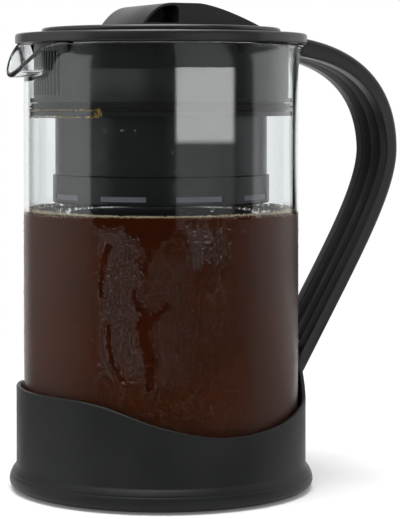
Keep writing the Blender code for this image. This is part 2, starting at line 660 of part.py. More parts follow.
def build_filter_collar(material):
    """Ring with two flanges: the seal sits between them, the skirt above and the basket below."""
    groove_inner = SKIRT_BORE - SEAT_GAP
    groove_outer = SKIRT_RADIUS + SEAT_GAP
    groove_floor = SKIRT_BASE - SEAT_GAP
    bore = BASKET_RADIUS + SEAT_GAP
    profile = [(bore, COLLAR_BASE), (COLLAR_RADIUS, COLLAR_BASE),
               (COLLAR_RADIUS, COLLAR_BASE + COLLAR_FLANGE),
               (COLLAR_CORE_RADIUS, COLLAR_BASE + COLLAR_FLANGE),
               (COLLAR_CORE_RADIUS, COLLAR_TOP_HEIGHT - COLLAR_FLANGE),
               (COLLAR_RADIUS, COLLAR_TOP_HEIGHT - COLLAR_FLANGE),
               (COLLAR_RADIUS, COLLAR_TOP_HEIGHT), (groove_outer, COLLAR_TOP_HEIGHT),
               (groove_outer, groove_floor), (groove_inner, groove_floor),
               (groove_inner, COLLAR_TOP_HEIGHT), (COLLAR_LEDGE_RADIUS, COLLAR_TOP_HEIGHT),
               (COLLAR_LEDGE_RADIUS, COLLAR_LEDGE), (bore, COLLAR_LEDGE)]
    return turned("filter_collar", profile, RING_STEPS, material, closed=True)


def build_collar_seal(material):
    """Silicone ring whose thin lip wipes the inside of the glass."""
    inner = COLLAR_CORE_RADIUS + SEAT_GAP
    hub = inner + SEAL_HUB_WIDTH
    base = COLLAR_BASE + COLLAR_FLANGE + SEAT_GAP
    top = COLLAR_TOP_HEIGHT - COLLAR_FLANGE - SEAT_GAP
    middle = (base + top) / 2
    lip = SEAL_LIP_THICKNESS / 2
    edge = JUG_BORE - SEAT_GAP
    profile = [(inner, base), (hub, base), (hub, middle - lip), (edge, middle - lip / 2),
               (edge, middle + lip), (hub, middle + lip), (hub, top), (inner, top)]
    return turned("collar_seal", profile, RING_STEPS, material, closed=True)


def build_basket_wall(material):
    profile = [(BASKET_BORE, SPIGOT_BASE), (SPIGOT_RADIUS, SPIGOT_BASE),
               (SPIGOT_RADIUS, BASKET_STEP_HEIGHT), (BASKET_RADIUS, BASKET_STEP_HEIGHT),
               (BASKET_RADIUS, BASKET_TOP), (BASKET_BORE, BASKET_TOP)]
    return turned("basket_wall", profile, RING_STEPS, material, closed=True)


def flat_ring(name, inner, outer, base, top, material):
    profile = [(inner, base), (outer, base), (outer, top), (inner, top)]
    return turned(name, profile, CORE_STEPS, material, closed=True)


def build_basket_seal(material):
    outer = BASKET_RADIUS - SEAT_GAP
    return flat_ring("basket_seal", outer - BASKET_SEAL_WIDTH, outer, BASKET_SEAL_BASE,
                     BASKET_SEAL_BASE + BASKET_SEAL_THICKNESS, material)


def build_drain_seal(material):
    outer = DRAIN_BORE - SEAT_GAP
    return flat_ring("drain_seal", outer - DRAIN_SEAL_WIDTH, outer, DRAIN_SEAL_BASE,
                     DRAIN_SEAL_TOP, material)


def build_screen_ring(material):
    outer = DRAIN_BORE - SEAT_GAP
    return flat_ring("screen_ring", outer - SCREEN_RING_WIDTH, outer, SCREEN_RING_BASE,
                     SCREEN_RING_BASE + SCREEN_RING_THICKNESS, material)


def build_mesh_screen(material):
    outer = DRAIN_BORE - SEAT_GAP
    profile = [(0.0, SCREEN_BASE), (outer, SCREEN_BASE),
               (outer, SCREEN_BASE + SCREEN_THICKNESS), (0.0, SCREEN_BASE + SCREEN_THICKNESS)]
    return turned("mesh_screen", profile, CORE_STEPS, material)


def build_drain_cap(material):
    """Cup under the basket: slots round its wall and two rings of windows in its floor."""
    ledge = DRAIN_BORE - DRAIN_LEDGE_WIDTH
    profile = [(0.0, DRAIN_BASE_HEIGHT), (DRAIN_RADIUS - DRAIN_BEVEL, DRAIN_BASE_HEIGHT),
               (DRAIN_RADIUS, DRAIN_BASE_HEIGHT + DRAIN_BEVEL), (DRAIN_RADIUS, DRAIN_TOP),
               (DRAIN_BORE, DRAIN_TOP), (DRAIN_BORE, DRAIN_LEDGE), (ledge, DRAIN_LEDGE),
               (ledge, DRAIN_FLOOR_TOP), (0.0, DRAIN_FLOOR_TOP)]
    cap = turned("drain_cap", profile, CORE_STEPS, material)
    pitch = 2 * math.pi / DRAIN_SLOTS
    slots = []
    windows = []
    for number in range(DRAIN_SLOTS):
        middle = DRAIN_SLOT_TURN + number * pitch
        slots.append(sector("drain_slot_%d" % number, ledge - CUT_OVERRUN, DRAIN_RADIUS + CUT_OVERRUN,
                            DRAIN_FLOOR_TOP + SEAT_GAP, DRAIN_FLOOR_TOP + DRAIN_SLOT_HEIGHT,
                            middle, DRAIN_SLOT_SPAN, 3))
        for ring, (near, far) in enumerate(DRAIN_WINDOW_RINGS_SHARES):
            windows.append(sector("window_%d_%d" % (ring, number), near * ledge, far * ledge,
                                  DRAIN_BASE_HEIGHT - CUT_OVERRUN, DRAIN_FLOOR_TOP + CUT_OVERRUN,
                                  middle, DRAIN_WINDOW_SPAN, 2))
    combine(cap, merge_tools("drain_slots", slots), 'DIFFERENCE')
    combine(cap, merge_tools("drain_windows", windows), 'DIFFERENCE')
    return cap


def build_lid_cap(material):
    """Upper disc with the plug wall that fills the neck; a groove round the plug holds the seal."""
    shoulder = PLUG_SHOULDER_RADIUS
    foot = CAP_HEIGHT - PLUG_DEPTH
    groove_base = foot + PLUG_SHOULDER_HEIGHT
    groove_top = CAP_HEIGHT - PLUG_SHOULDER_HEIGHT
    inner = PLUG_RADIUS - PLUG_WALL
    profile = [(0.0, CAP_HEIGHT), (inner, CAP_HEIGHT), (inner, foot), (shoulder, foot),
               (shoulder, groove_base), (PLUG_RADIUS, groove_base),
               (PLUG_RADIUS, groove_top), (shoulder, groove_top),
               (shoulder, CAP_HEIGHT), (CAP_RADIUS - CAP_ROUND / 2, CAP_HEIGHT),
               (CAP_RADIUS, CAP_HEIGHT + CAP_ROUND / 2)]
    profile += arc(CAP_RADIUS - CAP_ROUND, CAP_TOP - CAP_ROUND, CAP_ROUND, 0, 90, 2)
    profile += [(0.0, CAP_TOP)]
    return turned("lid_cap", profile, RING_STEPS, material)


def build_cap_seal(material):
    """Silicone ring in the plug's groove, with two lips that meet the neck."""
    inner = PLUG_RADIUS + SEAT_GAP
    outer = NECK_RADIUS - SEAT_GAP
    waist = inner + (outer - inner) * CAP_SEAL_GROOVE_SHARE
    base = CAP_HEIGHT - PLUG_DEPTH + PLUG_SHOULDER_HEIGHT + SEAT_GAP
    top = CAP_HEIGHT - PLUG_SHOULDER_HEIGHT - SEAT_GAP
    third = (top - base) / 3
    profile = [(inner, base), (waist, base), (outer, base + third / 2), (waist, base + third * 1.5),
               (outer, top - third / 2), (waist, top), (inner, top)]
    return turned("cap_seal", profile, CORE_STEPS, material, closed=True)


def side_prism(name, outline, near, far, material=None):
    """Extrude an outline of (x, z) points sideways, from y = near to y = far."""
    sections = [[Vector((along, side, height)) for along, height in outline] for side in (near, far)]
    return lofted(name, sections, material)


def grip_ramp(depth):
    """Upper face of the grip's ramp, from the cap up to the crest, moved inwards by a depth."""
    run = GRIP_SPOUT_END - GRIP_CREST_START
    fall = GRIP_HEIGHT - GRIP_EDGE
    points = []
    for step in range(GRIP_STEPS + 1):
        share = 1.0 - step / GRIP_STEPS
        slope = math.atan(GRIP_RAMP_CURVE * fall / run * share ** (GRIP_RAMP_CURVE - 1.0))
        height = GRIP_BASE + GRIP_HEIGHT - fall * share ** GRIP_RAMP_CURVE
        points.append((-GRIP_CREST_START - run * share + depth * math.sin(slope),
                       height - depth * math.cos(slope)))
    return points


def build_cap_grip(material):
    """Grip on the cap: a curved ramp, a level crest, a falling tail and two finger pockets."""
    base = GRIP_BASE
    top = base + GRIP_HEIGHT
    tail = []
    for step in range(GRIP_STEPS + 1):
        share = step / GRIP_STEPS
        tail.append((GRIP_CREST_END + (GRIP_TAIL_END - GRIP_CREST_END) * share,
                     top - (GRIP_HEIGHT - GRIP_EDGE) * share ** GRIP_TAIL_CURVE))
    outline = [(GRIP_TAIL_END, base), (-GRIP_SPOUT_END, base)] + grip_ramp(0.0) + tail
    half = GRIP_WIDTH / 2
    grip = side_prism("cap_grip", outline, -half, half, material)
    bevel = grip.modifiers.new("soft_edges", 'BEVEL')
    bevel.width = GRIP_EDGE
    bevel.segments = 1
    bevel.limit_method = 'ANGLE'
    bevel.angle_limit = math.radians(70)
    floor = base + GRIP_PLATE
    roof = grip_ramp(GRIP_PLATE)
    share = (floor - roof[0][1]) / (roof[1][1] - roof[0][1])
    start = roof[0][0] + (roof[1][0] - roof[0][0]) * share
    bend = GRIP_POCKET_ROUND
    bend_start = -GRIP_POCKET_END - bend
    pocket = [(start, floor)] + [point for point in roof[1:] if point[0] < bend_start]
    pocket += [(bend_start + bend * math.sin(turn), top - GRIP_PLATE - bend + bend * math.cos(turn))
               for turn in (math.radians(30 * step) for step in range(4))]
    pocket += [(-GRIP_POCKET_END, floor)]
    for label, side in (("near", -1.0), ("far", 1.0)):
        tool = side_prism("pocket_" + label, pocket, side * (half + CUT_OVERRUN),
                          side * (half - GRIP_POCKET_DEPTH))
        combine(grip, tool, 'DIFFERENCE')
    return grip


def build_all():
    clear_scene()
    plastic = make_material("moulded_black_plastic", (0.022, 0.023, 0.025), 0.38)
    satin = make_material("satin_black_plastic", (0.028, 0.029, 0.031), 0.50)
    soft_grip = make_material("soft_touch_strip", (0.016, 0.016, 0.017), 0.65)
    silicone = make_material("black_silicone", (0.012, 0.012, 0.013), 0.60)
    glass = make_material("clear_glass", (0.93, 0.96, 0.95), 0.02, transmission=1.0)
    steel = make_material("stainless_steel", (0.55, 0.55, 0.54), 0.30, metallic=1.0)
    build_base_pad(silicone)
    build_cradle(plastic)
    build_jug_cushion(silicone)
    build_handle_shell(plastic)
    build_handle_grip(soft_grip)
    for index, side in enumerate((-0.5, 0.5)):
        screw_form("handle_screw_%d" % index, side * SCREW_SPACING, 0.0, steel)
    bumper_form("rim_bumper", 0.0, silicone)
    build_glass_jug(glass)
    build_lid_ring(satin)
    build_pour_skirt(satin)
    build_filter_collar(satin)
    build_collar_seal(silicone)
    build_basket_wall(satin)
    build_basket_seal(silicone)
    build_drain_cap(satin)
    build_drain_seal(silicone)
    build_screen_ring(steel)
    build_mesh_screen(steel)
    build_lid_cap(satin)
    build_cap_seal(silicone)
    build_cap_grip(satin)


build_all()
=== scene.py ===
# Looks of the cold brew coffee maker: glass jug, black moulded cradle and handle, strainer insert and lid.
import math
import random

import bmesh
import bpy
from mathutils import Matrix, Vector


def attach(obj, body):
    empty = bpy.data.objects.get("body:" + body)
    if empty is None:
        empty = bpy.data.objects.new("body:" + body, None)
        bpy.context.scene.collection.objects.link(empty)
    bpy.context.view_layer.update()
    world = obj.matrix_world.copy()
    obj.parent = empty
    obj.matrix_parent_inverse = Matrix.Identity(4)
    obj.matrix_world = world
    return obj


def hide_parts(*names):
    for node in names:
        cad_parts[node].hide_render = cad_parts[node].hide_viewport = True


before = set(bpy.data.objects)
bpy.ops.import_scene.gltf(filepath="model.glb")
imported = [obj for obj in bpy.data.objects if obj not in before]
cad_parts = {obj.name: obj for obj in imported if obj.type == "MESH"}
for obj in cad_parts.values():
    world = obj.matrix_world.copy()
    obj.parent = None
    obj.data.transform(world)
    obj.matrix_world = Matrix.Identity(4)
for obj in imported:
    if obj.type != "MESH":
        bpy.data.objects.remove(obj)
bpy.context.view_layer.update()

# Camera: it stands at the height of the strainer collar, 25 degrees round towards the spout.
# The lens is a long one, and a slight tilt and shift put the maker where the photograph has it.
MM = 0.001
CAMERA_AZIMUTH = math.radians(-25)
CAMERA_DISTANCE = 826 * MM
CAMERA_HEIGHT = 160.8 * MM
CAMERA_TILT = math.radians(2.35)
LENS_LENGTH = 137.9
SENSOR_WIDTH = 36
LENS_SHIFT = (0.075, -0.15)
to_camera = Vector((math.sin(CAMERA_AZIMUTH), -math.cos(CAMERA_AZIMUTH), 0))
bpy.ops.object.camera_add(location=to_camera * CAMERA_DISTANCE + Vector((0, 0, CAMERA_HEIGHT)),
                          rotation=(math.radians(90) - CAMERA_TILT, 0, CAMERA_AZIMUTH))
camera = bpy.context.object
camera.data.lens = LENS_LENGTH
camera.data.sensor_width = SENSOR_WIDTH
camera.data.shift_x, camera.data.shift_y = LENS_SHIFT
bpy.context.scene.camera = camera

# Base pad and the cushion under the jug: rings cut from black silicone rubber sheet.
# The pad keeps the maker from sliding, and the cushion keeps glass off hard plastic.
PLASTIC_IOR = 1.5
SHEEN_RANGE = (0.3, 0.7)
SHEEN_SPREAD = 0.05
GRAIN_STRENGTH = 0.6
WHITE = "#FFFFFF"


def linear(code):
    """An sRGB hex colour as the linear values that a shader takes."""
    parts = [int(code[place:place + 2], 16) / 255 for place in (1, 3, 5)]
    return (*[part / 12.92 if part <= 0.04045 else ((part + 0.055) / 1.055) ** 2.4 for part in parts], 1)


def add_node(tree, kind, inputs=None, **settings):
    """Add a node, then set its own settings and its sockets: to a value, or to what another node gives."""
    made = tree.nodes.new(kind)
    for setting, value in settings.items():
        setattr(made, setting, value)
    for socket, value in (inputs or {}).items():
        source = value.outputs[0] if isinstance(value, bpy.types.Node) else value
        if isinstance(source, bpy.types.NodeSocket):
            tree.links.new(source, made.inputs[socket])
        else:
            made.inputs[socket].default_value = source
    return made


def new_material(name):
    material = bpy.data.materials.new(name)
    material.use_nodes = True
    material.node_tree.nodes.clear()
    return material, material.node_tree


def grained_surface(name, colour, worn_colour, roughness, grain, grain_depth, sheen_patch, shine=0.5):
    """A moulded surface: fine grain from the tool, and slow changes of colour and gloss across it."""
    material, tree = new_material(name)
    place = add_node(tree, 'ShaderNodeTexCoord').outputs["Object"]
    fine = add_node(tree, 'ShaderNodeTexNoise', {"Vector": place, "Scale": 1 / grain, "Detail": 2.0})
    slow = add_node(tree, 'ShaderNodeTexNoise', {"Vector": place, "Scale": 1 / sheen_patch, "Detail": 3.0})
    tint = add_node(tree, 'ShaderNodeMix', {0: slow, 6: linear(colour), 7: linear(worn_colour)},
                    data_type='RGBA').outputs[2]
    gloss = add_node(tree, 'ShaderNodeMapRange',
                     {"Value": slow, "From Min": SHEEN_RANGE[0], "From Max": SHEEN_RANGE[1],
                      "To Min": roughness - SHEEN_SPREAD, "To Max": roughness + SHEEN_SPREAD})
    bump = add_node(tree, 'ShaderNodeBump',
                    {"Height": fine, "Strength": GRAIN_STRENGTH, "Distance": grain_depth})
    shader = add_node(tree, 'ShaderNodeBsdfPrincipled',
                      {"Base Color": tint, "Roughness": gloss, "IOR": PLASTIC_IOR,
                       "Specular IOR Level": shine, "Normal": bump})
    add_node(tree, 'ShaderNodeOutputMaterial', {"Surface": shader})
    return material


def dress_nodes(material, names):
    """Give nodes that keep their own shape a material."""
    for name in names:
        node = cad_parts[name]
        node.data.materials.clear()
        node.data.materials.append(material)


# Silicone rubber has a dull skin that shows a soft sheen only where it turns away.
silicone = grained_surface("silicone_rubber", "#141415", "#1A1A1B", roughness=0.62,
                           grain=0.5 * MM, grain_depth=0.010 * MM, sheen_patch=9 * MM)
dress_nodes(silicone, ("base_pad", "jug_cushion", "rim_bumper", "basket_seal", "drain_seal", "cap_seal"))

# Cradle: one moulding in black polypropylene, with a rolled foot and a wall whose edge sweeps up
# at the spout and at the handle. The tool's spark-eroded face leaves a fine even grain on it.
CRADLE_RADIUS = 60.3 * MM
CRADLE_BORE = 58.3 * MM
CRADLE_STEPS = 192
CRADLE_FLOOR = 5.0 * MM
PAD_SEAT = (55.8 * MM, 2.3 * MM)
CUSHION_SEAT = (38.7 * MM, 49.3 * MM, 4.0 * MM)
SOLE = (58.5 * MM, 0.5 * MM)
BULGE = (63.2 * MM, 3.7 * MM)
WALL_START = 10.0 * MM
FLARE_STEPS = 40
CREASE_HEIGHT = 6.9 * MM
CREASE_WIDTH = 0.3 * MM
CREASE_DEPTH = 0.16 * MM
WALL_TOP_FRONT = 43.0 * MM
WALL_TOP_WAIST = 28.9 * MM
WALL_TOP_BACK = 59.0 * MM
FRONT_EDGE_SHARES = [(0, 1.0), (30, 1.0), (42, 0.89), (50, 0.72), (65, 0.35), (85, 0.03), (100, 0.0)]
BACK_EDGE_SHARES = [(100, 0.0), (118, 0.07), (138, 0.20), (149, 0.26), (155, 0.37), (158, 0.46),
                    (163, 0.62), (167, 0.75), (170, 0.90), (174, 1.0), (180, 1.0)]
FOOT_FLARE_SHARES = [(0.0, 1.0), (0.28, 0.92), (0.56, 0.68), (0.80, 0.34), (0.93, 0.10), (1.0, 0.0)]


def pick_out(piece):
    bpy.ops.object.select_all(action='DESELECT')
    piece.select_set(True)
    bpy.context.view_layer.objects.active = piece


def apply_modifier(piece, modifier):
    pick_out(piece)
    bpy.ops.object.modifier_apply(modifier=modifier.name)


def smooth_faces(piece, angle=35):
    pick_out(piece)
    bpy.ops.object.shade_smooth_by_angle(angle=math.radians(angle))


def name_piece(name):
    """Name the active piece and its mesh."""
    piece = bpy.context.object
    piece.name = name
    piece.data.name = name
    return piece


def close_edit():
    """Turn the faces outwards and leave edit mode."""
    bpy.ops.mesh.select_all(action='SELECT')
    bpy.ops.mesh.normals_make_consistent(inside=False)
    bpy.ops.object.mode_set(mode='OBJECT')


def round_edges(piece, width, segments=3, angle=35):
    bevel = piece.modifiers.new("rounded", 'BEVEL')
    bevel.width = width
    bevel.segments = segments
    bevel.limit_method = 'ANGLE'
    bevel.angle_limit = math.radians(angle)
    bevel.harden_normals = False
    apply_modifier(piece, bevel)
    smooth_faces(piece)


def turn_piece(name, profile, steps, closed=False):
    """Draw a round piece as by hand: a circle, extruded and resized along (radius, height) points."""
    bpy.ops.object.select_all(action='DESELECT')
    rings = [point for point in profile if point[0] > 0]
    radius, height = rings[0]
    bpy.ops.mesh.primitive_circle_add(vertices=steps, radius=radius, location=(0, 0, height))
    piece = name_piece(name)
    bpy.ops.object.transform_apply(location=True, rotation=True, scale=True)
    bpy.ops.object.mode_set(mode='EDIT')
    if profile[0][0] == 0:
        bpy.ops.mesh.extrude_edges_move(TRANSFORM_OT_translate={"value": (0, 0, profile[0][1] - height)})
        bpy.ops.mesh.merge(type='CENTER')
        bpy.ops.mesh.select_all(action='INVERT')
    for next_radius, next_height in rings[1:]:
        bpy.ops.mesh.extrude_edges_move(TRANSFORM_OT_translate={"value": (0, 0, next_height - height)})
        ratio = next_radius / radius
        bpy.ops.transform.resize(value=(ratio, ratio, 1), center_override=(0, 0, next_height))
        radius, height = next_radius, next_height
    if profile[-1][0] == 0:
        bpy.ops.mesh.extrude_edges_move(TRANSFORM_OT_translate={"value": (0, 0, profile[-1][1] - height)})
        bpy.ops.mesh.merge(type='CENTER')
    if closed:
        rows = bmesh.from_edit_mesh(piece.data)
        rows.verts.ensure_lookup_table()
        for corner in rows.verts[:steps]:
            corner.select_set(True)
        rows.select_flush(True)
        bmesh.update_edit_mesh(piece.data)
        bpy.ops.mesh.bridge_edge_loops()
    close_edit()
    smooth_faces(piece)
    return piece


def quarter(centre, reach, start, end, steps, rise=None):
    """Points of a round or elliptic stretch of a profile; angles in degrees from outwards."""
    points = []
    for step in range(steps + 1):
        turn = math.radians(start + (end - start) * step / steps)
        points.append((centre[0] + reach * math.cos(turn), centre[1] + (rise or reach) * math.sin(turn)))
    return points


def smooth_between(table, place):
    """Read a table of (place, value) along a smooth curve through its points."""
    last = len(table) - 1
    index = max(number for number in range(last) if number == 0 or table[number][0] <= place)
    left, right = table[index], table[index + 1]
    before, beyond = table[max(index - 1, 0)], table[min(index + 2, last)]
    width = right[0] - left[0]
    slope_left = (right[1] - before[1]) / (right[0] - before[0]) * width
    slope_right = (beyond[1] - left[1]) / (beyond[0] - left[0]) * width
    share = (place - left[0]) / width
    bend = left[1] - right[1]
    return (left[1] + slope_left * share + (-3 * bend - 2 * slope_left - slope_right) * share ** 2
            + (2 * bend + slope_left + slope_right) * share ** 3)


def cradle_edge_height(angle):
    """Height of the wall's edge; the angle is in degrees from the spout."""
    table, top = FRONT_EDGE_SHARES, WALL_TOP_FRONT
    if angle > FRONT_EDGE_SHARES[-1][0]:
        table, top = BACK_EDGE_SHARES, WALL_TOP_BACK
    return WALL_TOP_WAIST + (top - WALL_TOP_WAIST) * smooth_between(table, angle)


half_wall = (CRADLE_RADIUS - CRADLE_BORE) / 2
cradle_profile = [(0, PAD_SEAT[1]), PAD_SEAT, (PAD_SEAT[0], SOLE[1])]
cradle_profile += quarter((SOLE[0], BULGE[1]), BULGE[0] - SOLE[0], -90, 0, steps=8, rise=BULGE[1] - SOLE[1])
for step in range(1, FLARE_STEPS + 1):
    risen = step / FLARE_STEPS
    height = BULGE[1] + (WALL_START - BULGE[1]) * risen
    crease = CREASE_DEPTH * math.exp(-((height - CREASE_HEIGHT) / CREASE_WIDTH) ** 2)
    flare = (BULGE[0] - CRADLE_RADIUS) * smooth_between(FOOT_FLARE_SHARES, risen)
    cradle_profile.append((CRADLE_RADIUS + flare - crease, height))
cradle_profile += quarter((CRADLE_RADIUS - half_wall, WALL_TOP_FRONT - half_wall), half_wall,
                          0, 180, steps=10)
cradle_profile += [(CRADLE_BORE, CRADLE_FLOOR + half_wall), (CRADLE_BORE - half_wall, CRADLE_FLOOR),
                   (CUSHION_SEAT[1], CRADLE_FLOOR), CUSHION_SEAT[1:], (CUSHION_SEAT[0], CUSHION_SEAT[2]),
                   (CUSHION_SEAT[0], CRADLE_FLOOR), (0, CRADLE_FLOOR)]
cradle = turn_piece("cradle_moulding", cradle_profile, CRADLE_STEPS)
for corner in cradle.data.vertices:
    if corner.co.z > WALL_START + half_wall:
        from_spout = math.degrees(abs(math.atan2(corner.co.y, -corner.co.x)))
        corner.co.z += cradle_edge_height(from_spout) - WALL_TOP_FRONT
# Polypropylene is a waxy black: half matt, with a broad highlight that slides along its curves.
black_moulding = grained_surface("black_polypropylene", "#151617", "#1B1C1E", roughness=0.36,
                                 grain=0.45 * MM, grain_depth=0.012 * MM, sheen_patch=14 * MM)
# The cradle's face is the same stuff with a deeper, duller grain.
dull_moulding = grained_surface("spark_grained_polypropylene", "#191A1A", "#1E1F1F", roughness=0.42,
                                grain=0.45 * MM, grain_depth=0.014 * MM, sheen_patch=14 * MM, shine=0.16)
cradle.data.materials.append(dull_moulding)
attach(cradle, "stand")
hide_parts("cradle")

# Glass jug: a cylinder of borosilicate glass blown in a mould, fire-polished at its flared rim.
# The rim is pulled out and down on one side, while soft, to make the pouring lip.
JUG_RADIUS = 57.0 * MM
JUG_WALL = 2.2 * MM
JUG_FOOT = 7.3 * MM
JUG_TOP = 183.65 * MM
JUG_BASE = 3.2 * MM
JUG_PUSH_UP = 1.5 * MM
PUSH_UP_SHARE = 0.7
JUG_CORNER = 8.0 * MM
JUG_FLARE = 2.3 * MM
JUG_FLARE_DEPTH = 10.5 * MM
JUG_STEPS = 360
WALL_ROWS = (30, 121)
WALL_HOLD = 1.0 * MM
JUG_FLAT = 34 * MM
FLARE_RINGS = 16
LIP_REACH = 7.0 * MM
LIP_DROP = 12.8 * MM
LIP_THROAT = 3.0 * MM
# How sharply the lip's reach, drop and throat gather at its middle, and its reach at the rim
LIP_REACH_CURVE = 2.5
LIP_DROP_CURVE = 3.5
LIP_THROAT_CURVE = 2
LIP_RISE_CURVE = 0.8
LIP_HALF_ANGLE = 27
LIP_STEP = 0.02
LIP_SMOOTH_ANGLE = 60
GLASS_COLOUR = "#F2F5F6"
GLASS_IOR = 1.47
SMEAR_SIZE = 30 * MM
SMEAR_RANGE = (0.45, 0.8)
SMEAR_HAZE = 0.03
COFFEE_TOP = 115.2 * MM
NO_FOG = -2
FOG_ROUGHNESS = 0.36
FOG_WHITE = 0.002
FOG_MIRROR = "#585036"
FOG_WAVE_SIZE = 4 * MM
FOG_WAVES = 2.6
FOG_RAG_SIZE = 1.3 * MM
FOG_RAGS = 1.4
FOG_EDGE = (2.0, 3.4)
MIST_PITCH = 1.0 * MM
MIST_WHITE = 0.035
MIST_DROP = (0.12, 0.5)
MIST_PATCH_RANGE = (0.4, 0.6)
MIST_PATCH_LEAST = 0.35
# Where drops have run and left the glass clear: angle from the spout and height in mm at both ends,
# then half the width there. The first four make the wiped patch below the coffee's rim.
CLEAR_STROKES = [
    (40, 113.8, 71, 113.8, 2.2, 2.2), (54, 110.5, 66, 110.0, 3.0, 3.0),
    (59.5, 106.5, 61.5, 105.5, 3.2, 2.4), (60.8, 105.0, 61.0, 102.5, 2.0, 1.2),
    (43.7, 103.9, 42.9, 100.8, 0.9, 1.1), (42.9, 100.8, 41.8, 97.6, 1.1, 0.8),
    (41.8, 97.6, 40.5, 88.6, 0.5, 0.4), (40.5, 88.6, 41.2, 83.9, 0.4, 0.5),
    (43.7, 71.6, 44.2, 64.2, 0.7, 0.8), (44.2, 64.2, 45.4, 58.4, 0.8, 0.7),
    (45.4, 58.4, 50.0, 50.8, 0.7, 0.4), (55.6, 82.0, 59.1, 76.6, 0.7, 1.1),
    (59.1, 76.6, 57.0, 71.9, 1.1, 1.2), (57.0, 71.9, 58.7, 66.9, 1.2, 1.7),
    (58.7, 66.9, 60.5, 62.0, 1.9, 2.0), (60.5, 62.0, 61.1, 56.1, 1.8, 1.2),
    (61.1, 56.1, 60.0, 49.0, 1.2, 0.8), (67.3, 80.1, 63.0, 77.2, 0.9, 0.8),
    (63.0, 77.2, 59.3, 73.0, 0.8, 0.8), (61.1, 101.9, 59.9, 98.7, 0.7, 0.4),
    (58.4, 97.2, 58.4, 93.7, 0.4, 0.5), (54.8, 87.0, 54.5, 83.2, 0.4, 0.5),
    (76.4, 109.5, 83.5, 107.5, 1.3, 1.6), (78.5, 107.0, 79.5, 100.5, 2.0, 1.4),
    (79.5, 100.5, 79.9, 96.5, 1.3, 1.2), (152, 104, 155, 62, 0.7, 1.1),
    (214, 98, 212, 58, 0.8, 1.0), (288, 108, 291, 70, 0.6, 1.0)]

jug_bore = JUG_RADIUS - JUG_WALL
flare_start = JUG_TOP - JUG_FLARE_DEPTH
throat_start = flare_start - LIP_THROAT - 2 * WALL_HOLD
rim_half = JUG_WALL / 2
flare_rise = JUG_FLARE_DEPTH - rim_half
inner_floor = JUG_FOOT + JUG_BASE


def flare_line(radius):
    """The widening stretch of the wall below the rim, from bottom to top."""
    shares = [ring / FLARE_RINGS for ring in range(1, FLARE_RINGS + 1)]
    return [(radius + JUG_FLARE * share ** 2, flare_start + flare_rise * share) for share in shares]


def dished_floor(height):
    """The jug's floor, pushed up in the middle, from the axis outwards."""
    return [(0, height + JUG_PUSH_UP), (JUG_FLAT / 2, height + JUG_PUSH_UP * PUSH_UP_SHARE),
            (JUG_FLAT, height)]


jug_profile = dished_floor(JUG_FOOT)
jug_profile += quarter((JUG_RADIUS - JUG_CORNER, JUG_FOOT + JUG_CORNER), JUG_CORNER, -90, 0, steps=10)
jug_profile += [(JUG_RADIUS, JUG_FOOT + JUG_CORNER + WALL_HOLD)]
jug_profile += [(JUG_RADIUS, row * MM) for row in range(*WALL_ROWS)]
jug_profile += [(JUG_RADIUS, throat_start), (JUG_RADIUS, flare_start - WALL_HOLD), (JUG_RADIUS, flare_start)]
jug_profile += flare_line(JUG_RADIUS)[:-1]
jug_profile += quarter((JUG_RADIUS + JUG_FLARE - rim_half, JUG_TOP - rim_half), rim_half, 0, 180, steps=8)
jug_profile += flare_line(jug_bore)[-2::-1]
jug_profile += [(jug_bore, flare_start), (jug_bore, flare_start - WALL_HOLD), (jug_bore, throat_start),
                (jug_bore, inner_floor + JUG_CORNER - JUG_WALL + WALL_HOLD)]
jug_profile += quarter((JUG_RADIUS - JUG_CORNER, inner_floor + JUG_CORNER - JUG_WALL),
                       JUG_CORNER - JUG_WALL, 0, -90, steps=8)
jug_profile += reversed(dished_floor(inner_floor))
jug = turn_piece("blown_glass_jug", jug_profile, JUG_STEPS)


def lip_face(angle, share):
    """A spot on the jug's outer face at a share of the flare, pulled out and down round the spout."""
    pull = math.cos(math.radians(90) * min(abs(angle) / LIP_HALF_ANGLE, 1))
    reach = LIP_REACH * pull ** LIP_REACH_CURVE * share ** LIP_RISE_CURVE
    radius = JUG_RADIUS + JUG_FLARE * share ** 2 + reach
    drop = LIP_DROP * pull ** LIP_DROP_CURVE * share + LIP_THROAT * pull ** LIP_THROAT_CURVE * (1 - share)
    turn = math.radians(180 + angle)
    return Vector((math.cos(turn) * radius, math.sin(turn) * radius, flare_start + flare_rise * share - drop))


for corner in jug.data.vertices:
    angle = math.degrees(math.atan2(-corner.co.y, -corner.co.x))
    if corner.co.z < flare_start - 1.5 * WALL_HOLD or abs(angle) >= LIP_HALF_ANGLE:
        continue
    above = corner.co.z - flare_start
    share = min(max(above / flare_rise, 0), 1)
    inside = JUG_RADIUS + JUG_FLARE * share ** 2 - math.hypot(corner.co.x, corner.co.y)
    along = lip_face(angle + LIP_STEP, share) - lip_face(angle - LIP_STEP, share)
    rise = lip_face(angle, min(share + LIP_STEP, 1)) - lip_face(angle, max(share - LIP_STEP, 0))
    if above < 0:
        rise = Vector((0, 0, 1))
    rise.normalize()
    outward = along.cross(rise).normalized()
    corner.co = lip_face(angle, share) - outward * inside + rise * (above - flare_rise * share)
smooth_faces(jug, LIP_SMOOTH_ANGLE)


def on_wall(angle, height):
    """A spot on the unrolled glass, in mm, from an angle and a height in mm."""
    return Vector((math.radians(angle) * JUG_RADIUS / MM, height))


def fog_depth(angle, height):
    """How far a spot on the glass lies inside the fogged zone, in mm; below zero it is clear."""
    depth = (COFFEE_TOP - height) / MM
    for first, low, last, high, half_first, half_last in CLEAR_STROKES:
        start = on_wall(first, low)
        way = on_wall(last, high) - start
        spot = on_wall(angle, height / MM) - start
        share = min(max(spot.dot(way) / way.length_squared, 0), 1)
        depth = min(depth, (spot - way * share).length - half_first - (half_last - half_first) * share)
    return depth


